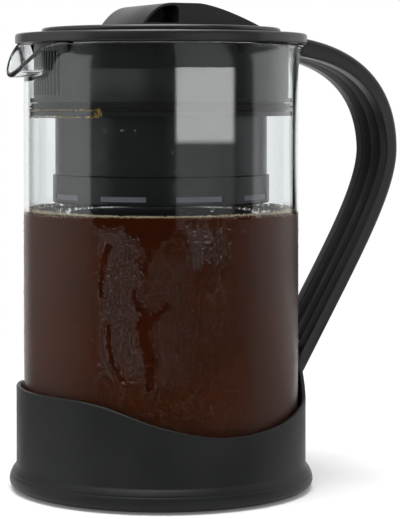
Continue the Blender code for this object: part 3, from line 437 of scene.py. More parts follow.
fog = jug.data.attributes.new("fog_depth", 'FLOAT', 'POINT')
for corner, mark in zip(jug.data.vertices, fog.data):
    outside = math.hypot(corner.co.x, corner.co.y) > JUG_RADIUS - WALL_HOLD / 2
    angle = math.degrees(math.atan2(-corner.co.y, -corner.co.x)) % 360
    near_fog = outside and corner.co.z < COFFEE_TOP + JUG_CORNER
    mark.value = fog_depth(angle, corner.co.z) if near_fog else NO_FOG
# Borosilicate glass is clear and faintly blue-grey. Cold coffee fogs it outside with fine dew,
# which scatters light, until drops run down and wipe it clear.
glass, tree = new_material("borosilicate_glass")
place = add_node(tree, 'ShaderNodeTexCoord').outputs["Object"]
smears = add_node(tree, 'ShaderNodeTexNoise', {"Vector": place, "Scale": 1 / SMEAR_SIZE, "Detail": 2.0})
haze = add_node(tree, 'ShaderNodeMapRange', {"Value": smears, "From Min": SMEAR_RANGE[0],
                                             "From Max": SMEAR_RANGE[1], "To Max": SMEAR_HAZE})
ragged = add_node(tree, 'ShaderNodeTexNoise', {"Vector": place, "Scale": 1 / FOG_RAG_SIZE, "Detail": 2.0})
wavy = add_node(tree, 'ShaderNodeTexNoise', {"Vector": place, "Scale": 1 / FOG_WAVE_SIZE, "Detail": 1.0})
depth = add_node(tree, 'ShaderNodeAttribute', attribute_name="fog_depth", attribute_type='GEOMETRY')
edge = add_node(tree, 'ShaderNodeMath', {0: wavy, 1: FOG_WAVES, 2: depth.outputs["Fac"]},
                operation='MULTIPLY_ADD')
fine_edge = add_node(tree, 'ShaderNodeMath', {0: ragged, 1: FOG_RAGS, 2: edge}, operation='MULTIPLY_ADD')
fogged = add_node(tree, 'ShaderNodeMapRange',
                  {"Value": fine_edge, "From Min": FOG_EDGE[0], "From Max": FOG_EDGE[1]},
                  interpolation_type='SMOOTHSTEP')
mirror = add_node(tree, 'ShaderNodeMix', {0: fogged, 6: linear(WHITE), 7: linear(FOG_MIRROR)},
                  data_type='RGBA').outputs[2]
blur = add_node(tree, 'ShaderNodeMath', {0: fogged, 1: FOG_ROUGHNESS, 2: haze}, operation='MULTIPLY_ADD')
shader = add_node(tree, 'ShaderNodeBsdfPrincipled',
                  {"Base Color": linear(GLASS_COLOUR), "IOR": GLASS_IOR, "Transmission Weight": 1.0,
                   "Roughness": blur, "Specular Tint": mirror})
dew = add_node(tree, 'ShaderNodeBsdfDiffuse', {"Color": linear(WHITE)})
mist = add_node(tree, 'ShaderNodeTexVoronoi', {"Vector": place, "Scale": 1 / MIST_PITCH})
droplet = add_node(tree, 'ShaderNodeMapRange',
                   {"Value": mist.outputs["Distance"], "From Min": MIST_DROP[0], "From Max": MIST_DROP[1],
                    "To Min": MIST_WHITE, "To Max": 0.0}, interpolation_type='SMOOTHSTEP')
patchy = add_node(tree, 'ShaderNodeMapRange', {"Value": wavy, "From Min": MIST_PATCH_RANGE[0],
                                               "From Max": MIST_PATCH_RANGE[1], "To Min": MIST_PATCH_LEAST})
speckle = add_node(tree, 'ShaderNodeMath', {0: droplet, 1: patchy, 2: FOG_WHITE}, operation='MULTIPLY_ADD')
whiteness = add_node(tree, 'ShaderNodeMath', {0: fogged, 1: speckle}, operation='MULTIPLY')
surface = add_node(tree, 'ShaderNodeMixShader', {0: whiteness, 1: shader, 2: dew})
add_node(tree, 'ShaderNodeOutputMaterial', {"Surface": surface})
jug.data.materials.append(glass)
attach(jug, "jug")
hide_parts("glass_jug")

# Coffee: the cold brew itself fills the jug to below the strainer and goes with the jug.
# It is nearly black in depth and red-brown where it meets the glass; its top is a still mirror.
COFFEE_OVERLAP = 0.05 * MM
MENISCUS = 0.9 * MM
LEVEL_NORMAL = 0.3
COFFEE_STEPS = 144
COFFEE_SIDE_COLOUR = "#592101"
COFFEE_DEEP_COLOUR = "#3A1301"
COFFEE_TOP_COLOUR = "#150A04"
PAINTED_SHADE_RADIUS = 38.0 * MM
CLOUD_SIZE = 26 * MM
RIPPLE_SIZE = 11 * MM
RIPPLE_DEPTH = 0.15 * MM
RIPPLE_STRENGTH = 0.3
COFFEE_IOR = 1.34
coffee_radius = jug_bore + COFFEE_OVERLAP
coffee_floor = inner_floor - COFFEE_OVERLAP
coffee_profile = dished_floor(coffee_floor)
coffee_profile += quarter((JUG_RADIUS - JUG_CORNER, coffee_floor + JUG_CORNER - JUG_WALL),
                          JUG_CORNER - JUG_WALL + COFFEE_OVERLAP, -90, 0, steps=8, rise=JUG_CORNER - JUG_WALL)
coffee_profile += [(coffee_radius, COFFEE_TOP), (coffee_radius - MENISCUS / 6, COFFEE_TOP - MENISCUS / 3),
                   (coffee_radius - MENISCUS / 2, COFFEE_TOP - MENISCUS * 0.7),
                   (coffee_radius - MENISCUS * 1.6, COFFEE_TOP - MENISCUS),
                   (PAINTED_SHADE_RADIUS, COFFEE_TOP - MENISCUS), (0, COFFEE_TOP - MENISCUS)]
coffee = turn_piece("cold_coffee", coffee_profile, COFFEE_STEPS)
coffee_side, tree = new_material("coffee_against_glass")
place = add_node(tree, 'ShaderNodeTexCoord').outputs["Object"]
cloud = add_node(tree, 'ShaderNodeTexNoise', {"Vector": place, "Scale": 1 / CLOUD_SIZE, "Detail": 2.0})
tint = add_node(tree, 'ShaderNodeMix',
                {0: cloud, 6: linear(COFFEE_DEEP_COLOUR), 7: linear(COFFEE_SIDE_COLOUR)},
                data_type='RGBA').outputs[2]
shader = add_node(tree, 'ShaderNodeBsdfPrincipled',
                  {"Base Color": tint, "Roughness": 0.5, "Specular IOR Level": 0.0})
add_node(tree, 'ShaderNodeOutputMaterial', {"Surface": shader})
coffee_top, tree = new_material("coffee_surface")
place = add_node(tree, 'ShaderNodeTexCoord').outputs["Object"]
ripple = add_node(tree, 'ShaderNodeTexNoise', {"Vector": place, "Scale": 1 / RIPPLE_SIZE, "Detail": 1.0})
bump = add_node(tree, 'ShaderNodeBump',
                {"Height": ripple, "Strength": RIPPLE_STRENGTH, "Distance": RIPPLE_DEPTH})
shader = add_node(tree, 'ShaderNodeBsdfPrincipled',
                  {"Base Color": linear(COFFEE_TOP_COLOUR), "Roughness": 0.04, "IOR": COFFEE_IOR,
                   "Normal": bump})
add_node(tree, 'ShaderNodeOutputMaterial', {"Surface": shader})
# Below the basket its top is painted shade: a matt near-black skin in place of the mirror.
painted_shade_skin = grained_surface("coffee_top_painted_shade", "#0E0805", "#1A0F08", roughness=0.9,
                               grain=0.6 * MM, grain_depth=0.1 * MM, sheen_patch=5 * MM)
for material in (coffee_side, coffee_top, painted_shade_skin):
    coffee.data.materials.append(material)
# Top faces inside the painted shade's radius take the matt dark skin; the ring outside it stays a mirror.
for face in coffee.data.polygons:
    if face.center.z > COFFEE_TOP - MENISCUS * 1.5 and face.normal.z > LEVEL_NORMAL:
        face.material_index = 2 if math.hypot(face.center.x, face.center.y) < PAINTED_SHADE_RADIUS else 1
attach(coffee, "jug")

# Dew: drops that have grown on the cold glass, from fine mist to beads a millimetre across.
# A few big ones hang at the ends of their runs and in the patch right of the middle.
DEW_SINK = 0.03 * MM
DEW_RISE_SHARE = 0.55
DEW_SAG = 0.3
DEW_SOFT_ROWS = 4
DEW_ROW_PITCH = 0.87
DEW_JITTER = 0.3
DEW_STRAYS = 0.05
DEW_TALLNESS = (0.9, 1.15)
# How much painted highlight the drops' upper sides get, the tilts over which it and the painted shade on
# their lower sides fade in, and that shade's colour
DEW_PAINTED_HIGHLIGHT = 0.13
PAINTED_HIGHLIGHT_TILT = (0.3, 0.75)
PAINTED_SHADE_TILT = (-0.75, -0.25)
PAINTED_SHADE_COLOUR = "#5A5048"
WATER_IOR = 1.33
# Each zone: angles from the spout, heights, spacing, smallest and largest radius in mm, share filled,
# and how many mm inside the fog its drops stand
DEW_ZONES = [
    (38, 60, 50, 113, 1.20, 0.34, 0.56, 0.95, 0.1), (20, 38, 79, 114.5, 1.30, 0.24, 0.42, 0.75, 0.1),
    (-5, 22, 46, 80, 2.00, 0.16, 0.28, 0.50, 0.1), (58, 80, 48, 102, 1.00, 0.18, 0.30, 0.85, 0.1),
    (74, 94.5, 94, 115, 1.35, 0.34, 0.60, 0.95, -1.5), (80, 96, 62, 94, 1.20, 0.16, 0.26, 0.50, 0.1),
    (70, 94, 116, 120.5, 1.30, 0.20, 0.45, 0.60, 0.1), (-8, 22, 116, 120.5, 1.20, 0.20, 0.38, 0.60, 0.1),
    (98, 350, 46, 113, 2.40, 0.25, 0.45, 0.50, 0.1)]
# Each big drop: angle from the spout, height, half width and half height in mm
BIG_DROPS = [
    (78.4, 108.0, 0.9, 0.6), (82.9, 107.5, 1.1, 0.7), (79.2, 105.4, 1.0, 0.6), (83.7, 105.3, 1.2, 0.6),
    (81.6, 102.8, 1.0, 0.6), (84.9, 102.6, 0.9, 0.6), (80.0, 97.0, 0.9, 1.6), (89.3, 99.5, 0.8, 0.5),
    (85.4, 117.9, 0.7, 0.9), (58.6, 48.0, 0.7, 1.6), (50.0, 50.4, 0.8, 0.6), (59.6, 102.6, 0.4, 0.5),
    (61.6, 102.2, 0.4, 0.4), (42.5, 148.7, 0.7, 0.9), (45.4, 148.6, 0.4, 0.4), (49.6, 148.8, 0.9, 0.5),
    (54.8, 148.8, 0.5, 0.4), (69.7, 140.3, 0.6, 0.7), (155.2, 60.8, 0.9, 1.5), (211.9, 56.8, 0.9, 1.4),
    (291.2, 68.8, 0.8, 1.4)]


def unit_dome(segments, rings):
    """Half a ball of unit size, its axis along Z, fuller towards its lower side at -Y."""
    bpy.ops.object.select_all(action='DESELECT')
    bpy.ops.mesh.primitive_uv_sphere_add(segments=segments, ring_count=rings, radius=1)
    dome = bpy.context.object
    bpy.ops.object.mode_set(mode='EDIT')
    bpy.ops.mesh.select_all(action='SELECT')
    bpy.ops.mesh.bisect(plane_co=(0, 0, 0), plane_no=(0, 0, 1), clear_inner=True)
    bpy.ops.object.mode_set(mode='OBJECT')
    for corner in dome.data.vertices:
        corner.co.z *= 1 - DEW_SAG * corner.co.y
    return dome


def copy_round_axis(name, model, spots):
    """Copy a small model to spots of (radius, angle from the spout, height, width, tallness, depth)."""
    form = bmesh.new()
    for radius, angle, height, width, tall, deep in spots:
        turn = math.radians(180 + angle)
        out = Vector((math.cos(turn), math.sin(turn), 0))
        along = Vector((-math.sin(turn), math.cos(turn), 0))
        place = Matrix((along * width, Vector((0, 0, tall)), out * deep)).transposed().to_4x4()
        place.translation = out * radius + Vector((0, 0, height))
        copy = model.data.copy()
        copy.transform(place)
        form.from_mesh(copy)
        bpy.data.meshes.remove(copy)
    bpy.data.objects.remove(model, do_unlink=True)
    mesh = bpy.data.meshes.new(name)
    form.to_mesh(mesh)
    form.free()
    mesh.shade_smooth()
    piece = bpy.data.objects.new(name, mesh)
    bpy.context.collection.objects.link(piece)
    return piece


draw = random.Random(7)
beads = []
for first, last, low, high, spacing, small, large, filled, in_fog in DEW_ZONES:
    angle_step = math.degrees(spacing * MM / JUG_RADIUS)
    for row in range(int((high - low) / (spacing * DEW_ROW_PITCH))):
        for column in range(int((last - first) / angle_step)):
            angle = first + (column + (row % 2) / 2 + draw.uniform(-DEW_JITTER, DEW_JITTER)) * angle_step
            height = (low + (row + draw.uniform(-DEW_JITTER, DEW_JITTER)) * spacing * DEW_ROW_PITCH) * MM
            size = draw.uniform(small, large) * MM
            inset = min((angle - first) / angle_step, (last - angle) / angle_step,
                        (height / MM - low) / spacing, (high - height / MM) / spacing)
            keep = draw.random() < filled * min(max(inset / DEW_SOFT_ROWS, DEW_STRAYS), 1)
            if keep and (height > COFFEE_TOP or fog_depth(angle, height) > in_fog):
                beads.append((JUG_RADIUS - DEW_SINK, angle, height, size, size * draw.uniform(*DEW_TALLNESS),
                              size * DEW_RISE_SHARE))
dew = copy_round_axis("dew_beads", unit_dome(segments=7, rings=4), beads)
big_spots = [(JUG_RADIUS - DEW_SINK, angle, height * MM, half_width * MM, half_height * MM,
              half_width * DEW_RISE_SHARE * MM) for angle, height, half_width, half_height in BIG_DROPS]
drops = copy_round_axis("dew_drops", unit_dome(segments=16, rings=8), big_spots)
# Clear water. Each drop is a small lens, with painted light on it: a painted highlight of white on its upper
# rim, and painted shade that tints its lower rim dark.
water, tree = new_material("water_drops_painted_light")
normal = add_node(tree, 'ShaderNodeNewGeometry').outputs["Normal"]
tilt = add_node(tree, 'ShaderNodeSeparateXYZ', {0: normal}).outputs["Z"]
painted_highlight = add_node(tree, 'ShaderNodeMapRange', {"Value": tilt, "From Min": PAINTED_HIGHLIGHT_TILT[0],
                                              "From Max": PAINTED_HIGHLIGHT_TILT[1], "To Max": DEW_PAINTED_HIGHLIGHT})
shade = add_node(tree, 'ShaderNodeMapRange', {"Value": tilt, "From Min": PAINTED_SHADE_TILT[0],
                                              "From Max": PAINTED_SHADE_TILT[1], "To Min": 1.0, "To Max": 0.0})
tint = add_node(tree, 'ShaderNodeMix', {0: shade, 6: linear(WHITE), 7: linear(PAINTED_SHADE_COLOUR)},
                data_type='RGBA').outputs[2]
clear = add_node(tree, 'ShaderNodeBsdfPrincipled',
                 {"Base Color": tint, "IOR": WATER_IOR, "Transmission Weight": 1.0, "Roughness": 0.03})
# This white diffuse is the painted highlight.
painted_highlight_white = add_node(tree, 'ShaderNodeBsdfDiffuse', {"Color": linear(WHITE)})
surface = add_node(tree, 'ShaderNodeMixShader', {0: painted_highlight, 1: clear, 2: painted_highlight_white})
add_node(tree, 'ShaderNodeOutputMaterial', {"Surface": surface})
for piece in (dew, drops):
    piece.data.materials.append(water)
    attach(piece, "jug")

# Foam: a thin line of cream-coloured bubbles that the brew left round its edge, against the glass.
# It is two or three bubbles deep in places and all but gone in others.
FOAM_BUBBLES = 3600
FOAM_RADII = (0.2 * MM, 0.5 * MM)
FOAM_DEPTH = 1.5 * MM
FOAM_LEAN_SHARE = 0.22
FOAM_LEAN_ANGLE = 65
FOAM_SHOWING = 0.7
FOAM_PATCH = 1.5 * MM
bpy.ops.object.select_all(action='DESELECT')
bpy.ops.mesh.primitive_ico_sphere_add(subdivisions=1, radius=1)
bubble = bpy.context.object
spots = []
for number in range(FOAM_BUBBLES):
    angle = draw.uniform(0, 360)
    size = draw.uniform(*FOAM_RADII)
    swell = math.sin(math.radians(angle - FOAM_LEAN_ANGLE)) ** 2
    thick = FOAM_LEAN_SHARE + (1 - FOAM_LEAN_SHARE) * swell
    spots.append((jug_bore - size * FOAM_SHOWING, angle,
                  COFFEE_TOP + draw.uniform(-1, 1) * FOAM_DEPTH * thick, size, size, size))
foam = copy_round_axis("coffee_foam", bubble, spots)
cream, tree = new_material("coffee_foam_bubbles")
place = add_node(tree, 'ShaderNodeTexCoord').outputs["Object"]
patches = add_node(tree, 'ShaderNodeTexNoise', {"Vector": place, "Scale": 1 / FOAM_PATCH, "Detail": 2.0})
tint = add_node(tree, 'ShaderNodeMix', {0: patches, 6: linear("#B89A62"), 7: linear("#FFF6D8")},
                data_type='RGBA').outputs[2]
shader = add_node(tree, 'ShaderNodeBsdfPrincipled', {"Base Color": tint, "Roughness": 0.3})
add_node(tree, 'ShaderNodeOutputMaterial', {"Surface": shader})
foam.data.materials.append(cream)
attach(foam, "jug")

# Handle: a curved channel in the same black polypropylene, screwed to the cradle's back tab.
# A softer black strip lies in its channel, where the fingers close round it.
LID_RADIUS = 60.4 * MM
CUT_GAP = 0.3 * MM
HANDLE_TOP = (57.5 * MM, 187.4 * MM)
HANDLE_WIDEST = (107.2 * MM, 139.9 * MM)
HANDLE_FOOT = (57.5 * MM, 39.0 * MM)
HANDLE_TOP_WAY = (1.0, -0.12)
HANDLE_FOOT_WAY = (-0.58, -1.0)
HANDLE_PULLS = (40.1 * MM, 19.7 * MM, 20.3 * MM, 60.5 * MM)
HANDLE_THICKNESSES = (8.0 * MM, 5.9 * MM, 6.0 * MM)
HANDLE_WIDTH = 26.2 * MM
CHANNEL_WIDTH = 14.5 * MM
CHANNEL_DEPTH = 1.9 * MM
HANDLE_BACK_ROUND = 2.2 * MM
HANDLE_LIP_ROUND = 0.8 * MM
STRIP_ROUND = 0.35 * MM
STRIP_CREASE = 0.12 * MM
HANDLE_STATIONS = 40
HANDLE_SMOOTH_ANGLE = 40
WELD = 0.01 * MM


def handle_run(start, start_pull, end_pull, end, share):
    rest = 1 - share
    point = (start * rest ** 3 + start_pull * 3 * rest ** 2 * share
             + end_pull * 3 * rest * share ** 2 + end * share ** 3)
    way = ((start_pull - start) * rest ** 2 + (end_pull - start_pull) * 2 * rest * share
           + (end - end_pull) * share ** 2)
    return point, way.normalized()


def handle_stations():
    """Places along the handle's back, from the rim down to the cradle: point, direction, thickness."""
    top, widest, foot = Vector(HANDLE_TOP), Vector(HANDLE_WIDEST), Vector(HANDLE_FOOT)
    down = Vector((0, -1))
    bends = [top + Vector(HANDLE_TOP_WAY).normalized() * HANDLE_PULLS[0], widest - down * HANDLE_PULLS[1],
             widest + down * HANDLE_PULLS[2], foot - Vector(HANDLE_FOOT_WAY).normalized() * HANDLE_PULLS[3]]
    stations = []
    for run, ends in enumerate([(top, bends[0], bends[1], widest), (widest, bends[2], bends[3], foot)]):
        first, last = HANDLE_THICKNESSES[run:run + 2]
        for step in range(1 if run else 0, HANDLE_STATIONS + 1):
            share = step / HANDLE_STATIONS
            stations.append((*handle_run(*ends, share), first + (last - first) * share))
    return stations


def sweep_outline(name, outline):
    """Wrap a grid round the handle's run: its columns follow the outline, its rows the stations."""
    stations = handle_stations()
    columns = len(outline(stations[0][2]))
    bpy.ops.object.select_all(action='DESELECT')
    bpy.ops.mesh.primitive_grid_add(x_subdivisions=columns, y_subdivisions=len(stations) - 1, size=1)
    piece = name_piece(name)
    for row, (point, way, thickness) in enumerate(stations):
        inwards = Vector((way.y, -way.x))
        section = outline(thickness)
        for column in range(columns + 1):
            width, depth = section[column % columns]
            place = point + inwards * depth
            piece.data.vertices[row * (columns + 1) + column].co = (place.x, width, place.y)
    bpy.ops.object.mode_set(mode='EDIT')
    bpy.ops.mesh.select_all(action='SELECT')
    bpy.ops.mesh.remove_doubles(threshold=WELD)
    bpy.ops.mesh.select_all(action='DESELECT')
    bpy.ops.mesh.select_non_manifold()
    bpy.ops.mesh.edge_face_add()
    close_edit()
    return piece


def both_sides(side, middle=()):
    """An outline from its points on one side and on the middle line."""
    return side + list(middle) + [(-width, depth) for width, depth in reversed(side)]


def shell_outline(thickness):
    """Channel section: round back, two side walls and the groove for the strip."""
    half, channel = HANDLE_WIDTH / 2, CHANNEL_WIDTH / 2
    side = quarter((half - HANDLE_BACK_ROUND, HANDLE_BACK_ROUND), HANDLE_BACK_ROUND, -90, 0, steps=6)
    side += quarter((half - HANDLE_LIP_ROUND, thickness - HANDLE_LIP_ROUND), HANDLE_LIP_ROUND, 0, 90, steps=4)
    side += [(channel + HANDLE_LIP_ROUND / 3, thickness), (channel, thickness - HANDLE_LIP_ROUND / 3),
             (channel, thickness - CHANNEL_DEPTH)]
    return both_sides(side)


def strip_outline(thickness):
    """Strip section: soft edges and a fine crease along the middle."""
    half = CHANNEL_WIDTH / 2 - CUT_GAP / 3
    side = [(half, thickness - CHANNEL_DEPTH + CUT_GAP)]
    side += quarter((half - STRIP_ROUND, thickness - STRIP_ROUND), STRIP_ROUND, 0, 90, steps=4)
    side += [(STRIP_CREASE * 1.4, thickness), (STRIP_CREASE / 2, thickness - STRIP_CREASE / 3)]
    return both_sides(side, [(0, thickness - STRIP_CREASE)])


def cut_with(piece, tool):
    """Cut a tool out of a piece for good, and take the tool away."""
    cut = piece.modifiers.new("cut", 'BOOLEAN')
    cut.operation = 'DIFFERENCE'
    cut.solver = 'EXACT'
    cut.object = tool
    apply_modifier(piece, cut)
    bpy.data.objects.remove(tool, do_unlink=True)


# Both runs end where they meet the cradle below and the lid above.
foot_cut, head_cut = CRADLE_RADIUS + CUT_GAP, LID_RADIUS + CUT_GAP
trim_top = HANDLE_TOP[1] + CHANNEL_WIDTH
end_trim = [(0, WALL_START), (foot_cut, WALL_START), (foot_cut, HANDLE_WIDEST[1]),
            (head_cut, HANDLE_WIDEST[1]), (head_cut, trim_top), (0, trim_top)]
for name, outline, body_slot in (("handle_moulding", shell_outline, "moulded_black_plastic"),
                                 ("handle_strip", strip_outline, "soft_grip")):
    piece = sweep_outline(name, outline)
    cut_with(piece, turn_piece("end_trim", end_trim, CRADLE_STEPS))
    smooth_faces(piece, HANDLE_SMOOTH_ANGLE)
    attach(piece, "stand")
handle = bpy.data.objects["handle_moulding"]
strip = bpy.data.objects["handle_strip"]
handle.data.materials.append(black_moulding)
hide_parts("handle_shell")
# Thermoplastic rubber: darker and duller than the hard moulding beside it.
soft_touch = grained_surface("soft_touch_rubber", "#0F0F10", "#141415", roughness=0.6,
                             grain=0.4 * MM, grain_depth=0.014 * MM, sheen_patch=10 * MM, shine=0.22)
strip.data.materials.append(soft_touch)
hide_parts("handle_grip")

# Screws: two countersunk stainless screws, driven from inside the cradle into the handle's root.
# Cold-headed and tumbled, they have a soft grey shine.
TUMBLE_SIZE = 0.8 * MM
STEEL_GLOSS = (0.22, 0.38)
steel, tree = new_material("tumbled_stainless_steel")
place = add_node(tree, 'ShaderNodeTexCoord').outputs["Object"]
tumble = add_node(tree, 'ShaderNodeTexNoise', {"Vector": place, "Scale": 1 / TUMBLE_SIZE, "Detail": 3.0})
gloss = add_node(tree, 'ShaderNodeMapRange',
                 {"Value": tumble, "To Min": STEEL_GLOSS[0], "To Max": STEEL_GLOSS[1]})
shader = add_node(tree, 'ShaderNodeBsdfPrincipled',
                  {"Base Color": linear("#B9B8B4"), "Metallic": 1.0, "Roughness": gloss})
add_node(tree, 'ShaderNodeOutputMaterial', {"Surface": shader})
dress_nodes(steel, ("handle_screw_0", "handle_screw_1", "screen_ring"))

# Mesh screen: a disc punched from plain-woven stainless wire cloth, clamped under its ring.
# The wires lie 0.5 mm apart, over and under each other.
WIRE_SPACING = 0.5 * MM
WIRE_RISE = 0.1 * MM
WIRE_BUMP = 0.8
wire_cloth, tree = new_material("woven_wire_cloth")
# The bands of a wave texture lie pi / (10 * scale) apart.
wave_scale = 0.1 / WIRE_SPACING * math.pi
place = add_node(tree, 'ShaderNodeTexCoord').outputs["Object"]
warp, weft = [add_node(tree, 'ShaderNodeTexWave', {"Vector": place, "Scale": wave_scale},
                       bands_direction=way).outputs["Fac"] for way in ('X', 'Y')]
wires = add_node(tree, 'ShaderNodeMath', {0: warp, 1: weft}, operation='MAXIMUM')
bump = add_node(tree, 'ShaderNodeBump', {"Height": wires, "Strength": WIRE_BUMP, "Distance": WIRE_RISE})
tint = add_node(tree, 'ShaderNodeMix', {0: wires, 6: linear("#1E1E1D"), 7: linear("#A9A8A3")},
                data_type='RGBA').outputs[2]
shader = add_node(tree, 'ShaderNodeBsdfPrincipled',
                  {"Base Color": tint, "Metallic": 1.0, "Roughness": 0.35, "Normal": bump})
add_node(tree, 'ShaderNodeOutputMaterial', {"Surface": shader})
dress_nodes(wire_cloth, ("mesh_screen",))

# Lid ring: the lower disc of the lid, moulded in satin black ABS with its filling neck below.
# It rests on the glass rim and carries the whole strainer insert.
LID_STEPS = 160
LID_BASE = 183.95 * MM
LID_TOP = 188.05 * MM
LID_ROUND = 1.1 * MM
NECK_RADIUS = 46.2 * MM
NECK_OUTER = 48.2 * MM
NECK_DROP = 3.6 * MM
GROOVE = (50.7 * MM, 53.1 * MM, 185.45 * MM)
neck_foot = LID_BASE - NECK_DROP
lid_profile = [(NECK_RADIUS, neck_foot), (NECK_OUTER, neck_foot), (NECK_OUTER, LID_BASE),
               (GROOVE[0], LID_BASE), (GROOVE[0], GROOVE[2]), GROOVE[1:], (GROOVE[1], LID_BASE)]
lid_profile += quarter((LID_RADIUS - LID_ROUND / 2, LID_BASE + LID_ROUND / 2), LID_ROUND / 2, -90, 0, steps=4)
lid_profile += quarter((LID_RADIUS - LID_ROUND, LID_TOP - LID_ROUND), LID_ROUND, 0, 90, steps=6)
lid_profile += [(NECK_RADIUS + LID_ROUND / 4, LID_TOP), (NECK_RADIUS, LID_TOP - LID_ROUND / 4)]
lid = turn_piece("lid_disc", lid_profile, LID_STEPS, closed=True)
# ABS takes a finer, greyer satin than the cradle, so the lid looks a shade lighter.
satin_black = grained_surface("satin_black_abs", "#18191A", "#1F2021", roughness=0.34,
                              grain=0.3 * MM, grain_depth=0.008 * MM, sheen_patch=12 * MM)
lid.data.materials.append(satin_black)
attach(lid, "lid")
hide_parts("lid_ring")

# Pour screen: the thin wall below the lid. Its comb of thirteen slots holds ice and grounds back.
# Four small wedges stand on it, and centre it in the glass.
SKIRT_RADIUS = 52.8 * MM
SKIRT_BORE = 51.0 * MM
SKIRT_ROUND = 0.15 * MM
SKIRT_FOOT = 160.7 * MM
SKIRT_HEAD = 185.15 * MM
COMB_SLOTS = 13
COMB_HALF_ANGLE = 17
COMB_SLOT_SHARE = 0.52
COMB_FOOT = 162.8 * MM
COMB_HEAD = 180.95 * MM
COMB_END_DROP = 1.5 * MM
WEDGE_ANGLES = (21, 101, -101, -21)
WEDGE_WIDTH = 2.2 * MM
WEDGE_TIP = 54.2 * MM
WEDGE_HEIGHT = 6.0 * MM
CUT_REACH = 1.9 * MM
FINE_WELD = 0.001 * MM


def ring_block(name, inner, outer, base, top, middle, span, steps):
    """A block bent round the axis: a square spun through its span; middle is in degrees from the spout."""
    start = math.radians(180 + middle - span / 2)
    bpy.ops.object.select_all(action='DESELECT')
    bpy.ops.mesh.primitive_plane_add(size=1, rotation=(math.radians(90), 0, 0))
    block = name_piece(name)
    bpy.ops.object.transform_apply(location=False, rotation=True, scale=False)
    for corner in block.data.vertices:
        along = outer if corner.co.x > 0 else inner
        corner.co = (along * math.cos(start), along * math.sin(start), top if corner.co.z > 0 else base)
    bpy.ops.object.mode_set(mode='EDIT')
    bpy.ops.mesh.select_all(action='SELECT')
    bpy.ops.mesh.spin(steps=steps, angle=-math.radians(span), center=(0, 0, 0), axis=(0, 0, 1))
    bpy.ops.mesh.select_all(action='SELECT')
    bpy.ops.mesh.remove_doubles(threshold=FINE_WELD)
    close_edit()
    return block


def join_pieces(name, parts):
    pick_out(parts[0])
    for part in parts:
        part.select_set(True)
    bpy.ops.object.join()
    return name_piece(name)


skirt_profile = [(SKIRT_BORE, SKIRT_FOOT), (SKIRT_RADIUS, SKIRT_FOOT), (SKIRT_RADIUS, SKIRT_HEAD),
                 (SKIRT_BORE, SKIRT_HEAD)]
skirt = turn_piece("pour_screen", skirt_profile, LID_STEPS, closed=True)
comb_pitch = 2 * COMB_HALF_ANGLE / COMB_SLOTS
slots = []
for number in range(COMB_SLOTS):
    place = number - (COMB_SLOTS - 1) / 2
    drop = COMB_END_DROP if number in (0, COMB_SLOTS - 1) else 0
    slots.append(ring_block("slot", SKIRT_BORE - CUT_REACH, SKIRT_RADIUS + CUT_REACH, COMB_FOOT,
                            COMB_HEAD - drop, place * comb_pitch, comb_pitch * COMB_SLOT_SHARE, steps=1))
cut_with(skirt, join_pieces("comb", slots))
round_edges(skirt, SKIRT_ROUND, segments=2, angle=50)
wedge_root = SKIRT_RADIUS - half_wall / 2
wedge_span = math.degrees(WEDGE_WIDTH / SKIRT_RADIUS)
wedges = []
for middle in WEDGE_ANGLES:
    wedge = ring_block("wedge", wedge_root, WEDGE_TIP, LID_BASE - WEDGE_HEIGHT, LID_BASE - CUT_GAP,
                       middle, wedge_span, steps=2)
    for corner in wedge.data.vertices:
        if corner.co.z < LID_BASE - WEDGE_HEIGHT / 2:
            inward = wedge_root / math.hypot(corner.co.x, corner.co.y)
            corner.co.x *= inward
            corner.co.y *= inward
    wedges.append(wedge)
skirt = join_pieces("pour_screen", [skirt] + wedges)
skirt.data.materials.clear()
skirt.data.materials.append(satin_black)
smooth_faces(skirt)
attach(skirt, "lid")
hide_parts("pour_skirt")

# Filter collar: the ring between pour screen and basket, with a flange above and below its seal.
# It is moulded in the same satin ABS.
COLLAR_BASE = 154.4 * MM
COLLAR_TOP = 161.6 * MM
COLLAR_RADIUS = 54.3 * MM
COLLAR_CORE = 51.2 * MM
COLLAR_LEDGE = (41.2 * MM, 160.1 * MM)
COLLAR_FLANGE = 1.8 * MM
COLLAR_BORE = 44.2 * MM
COLLAR_ROUND = 0.22 * MM
lower_flange = COLLAR_BASE + COLLAR_FLANGE
upper_flange = COLLAR_TOP - COLLAR_FLANGE
tongue_top = SKIRT_FOOT - CUT_GAP
collar_profile = [(COLLAR_BORE, COLLAR_BASE), (COLLAR_RADIUS, COLLAR_BASE), (COLLAR_RADIUS, lower_flange),
                  (COLLAR_CORE, lower_flange), (COLLAR_CORE, upper_flange), (COLLAR_RADIUS, upper_flange),
                  (COLLAR_RADIUS, COLLAR_TOP), (GROOVE[1], COLLAR_TOP), (GROOVE[1], tongue_top),
                  (GROOVE[0], tongue_top), (GROOVE[0], COLLAR_TOP), (COLLAR_LEDGE[0], COLLAR_TOP),
                  COLLAR_LEDGE, (COLLAR_BORE, COLLAR_LEDGE[1])]
collar = turn_piece("seal_carrier", collar_profile, LID_STEPS, closed=True)
round_edges(collar, COLLAR_ROUND, segments=2)
collar.data.materials.append(satin_black)
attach(collar, "lid")
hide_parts("filter_collar")

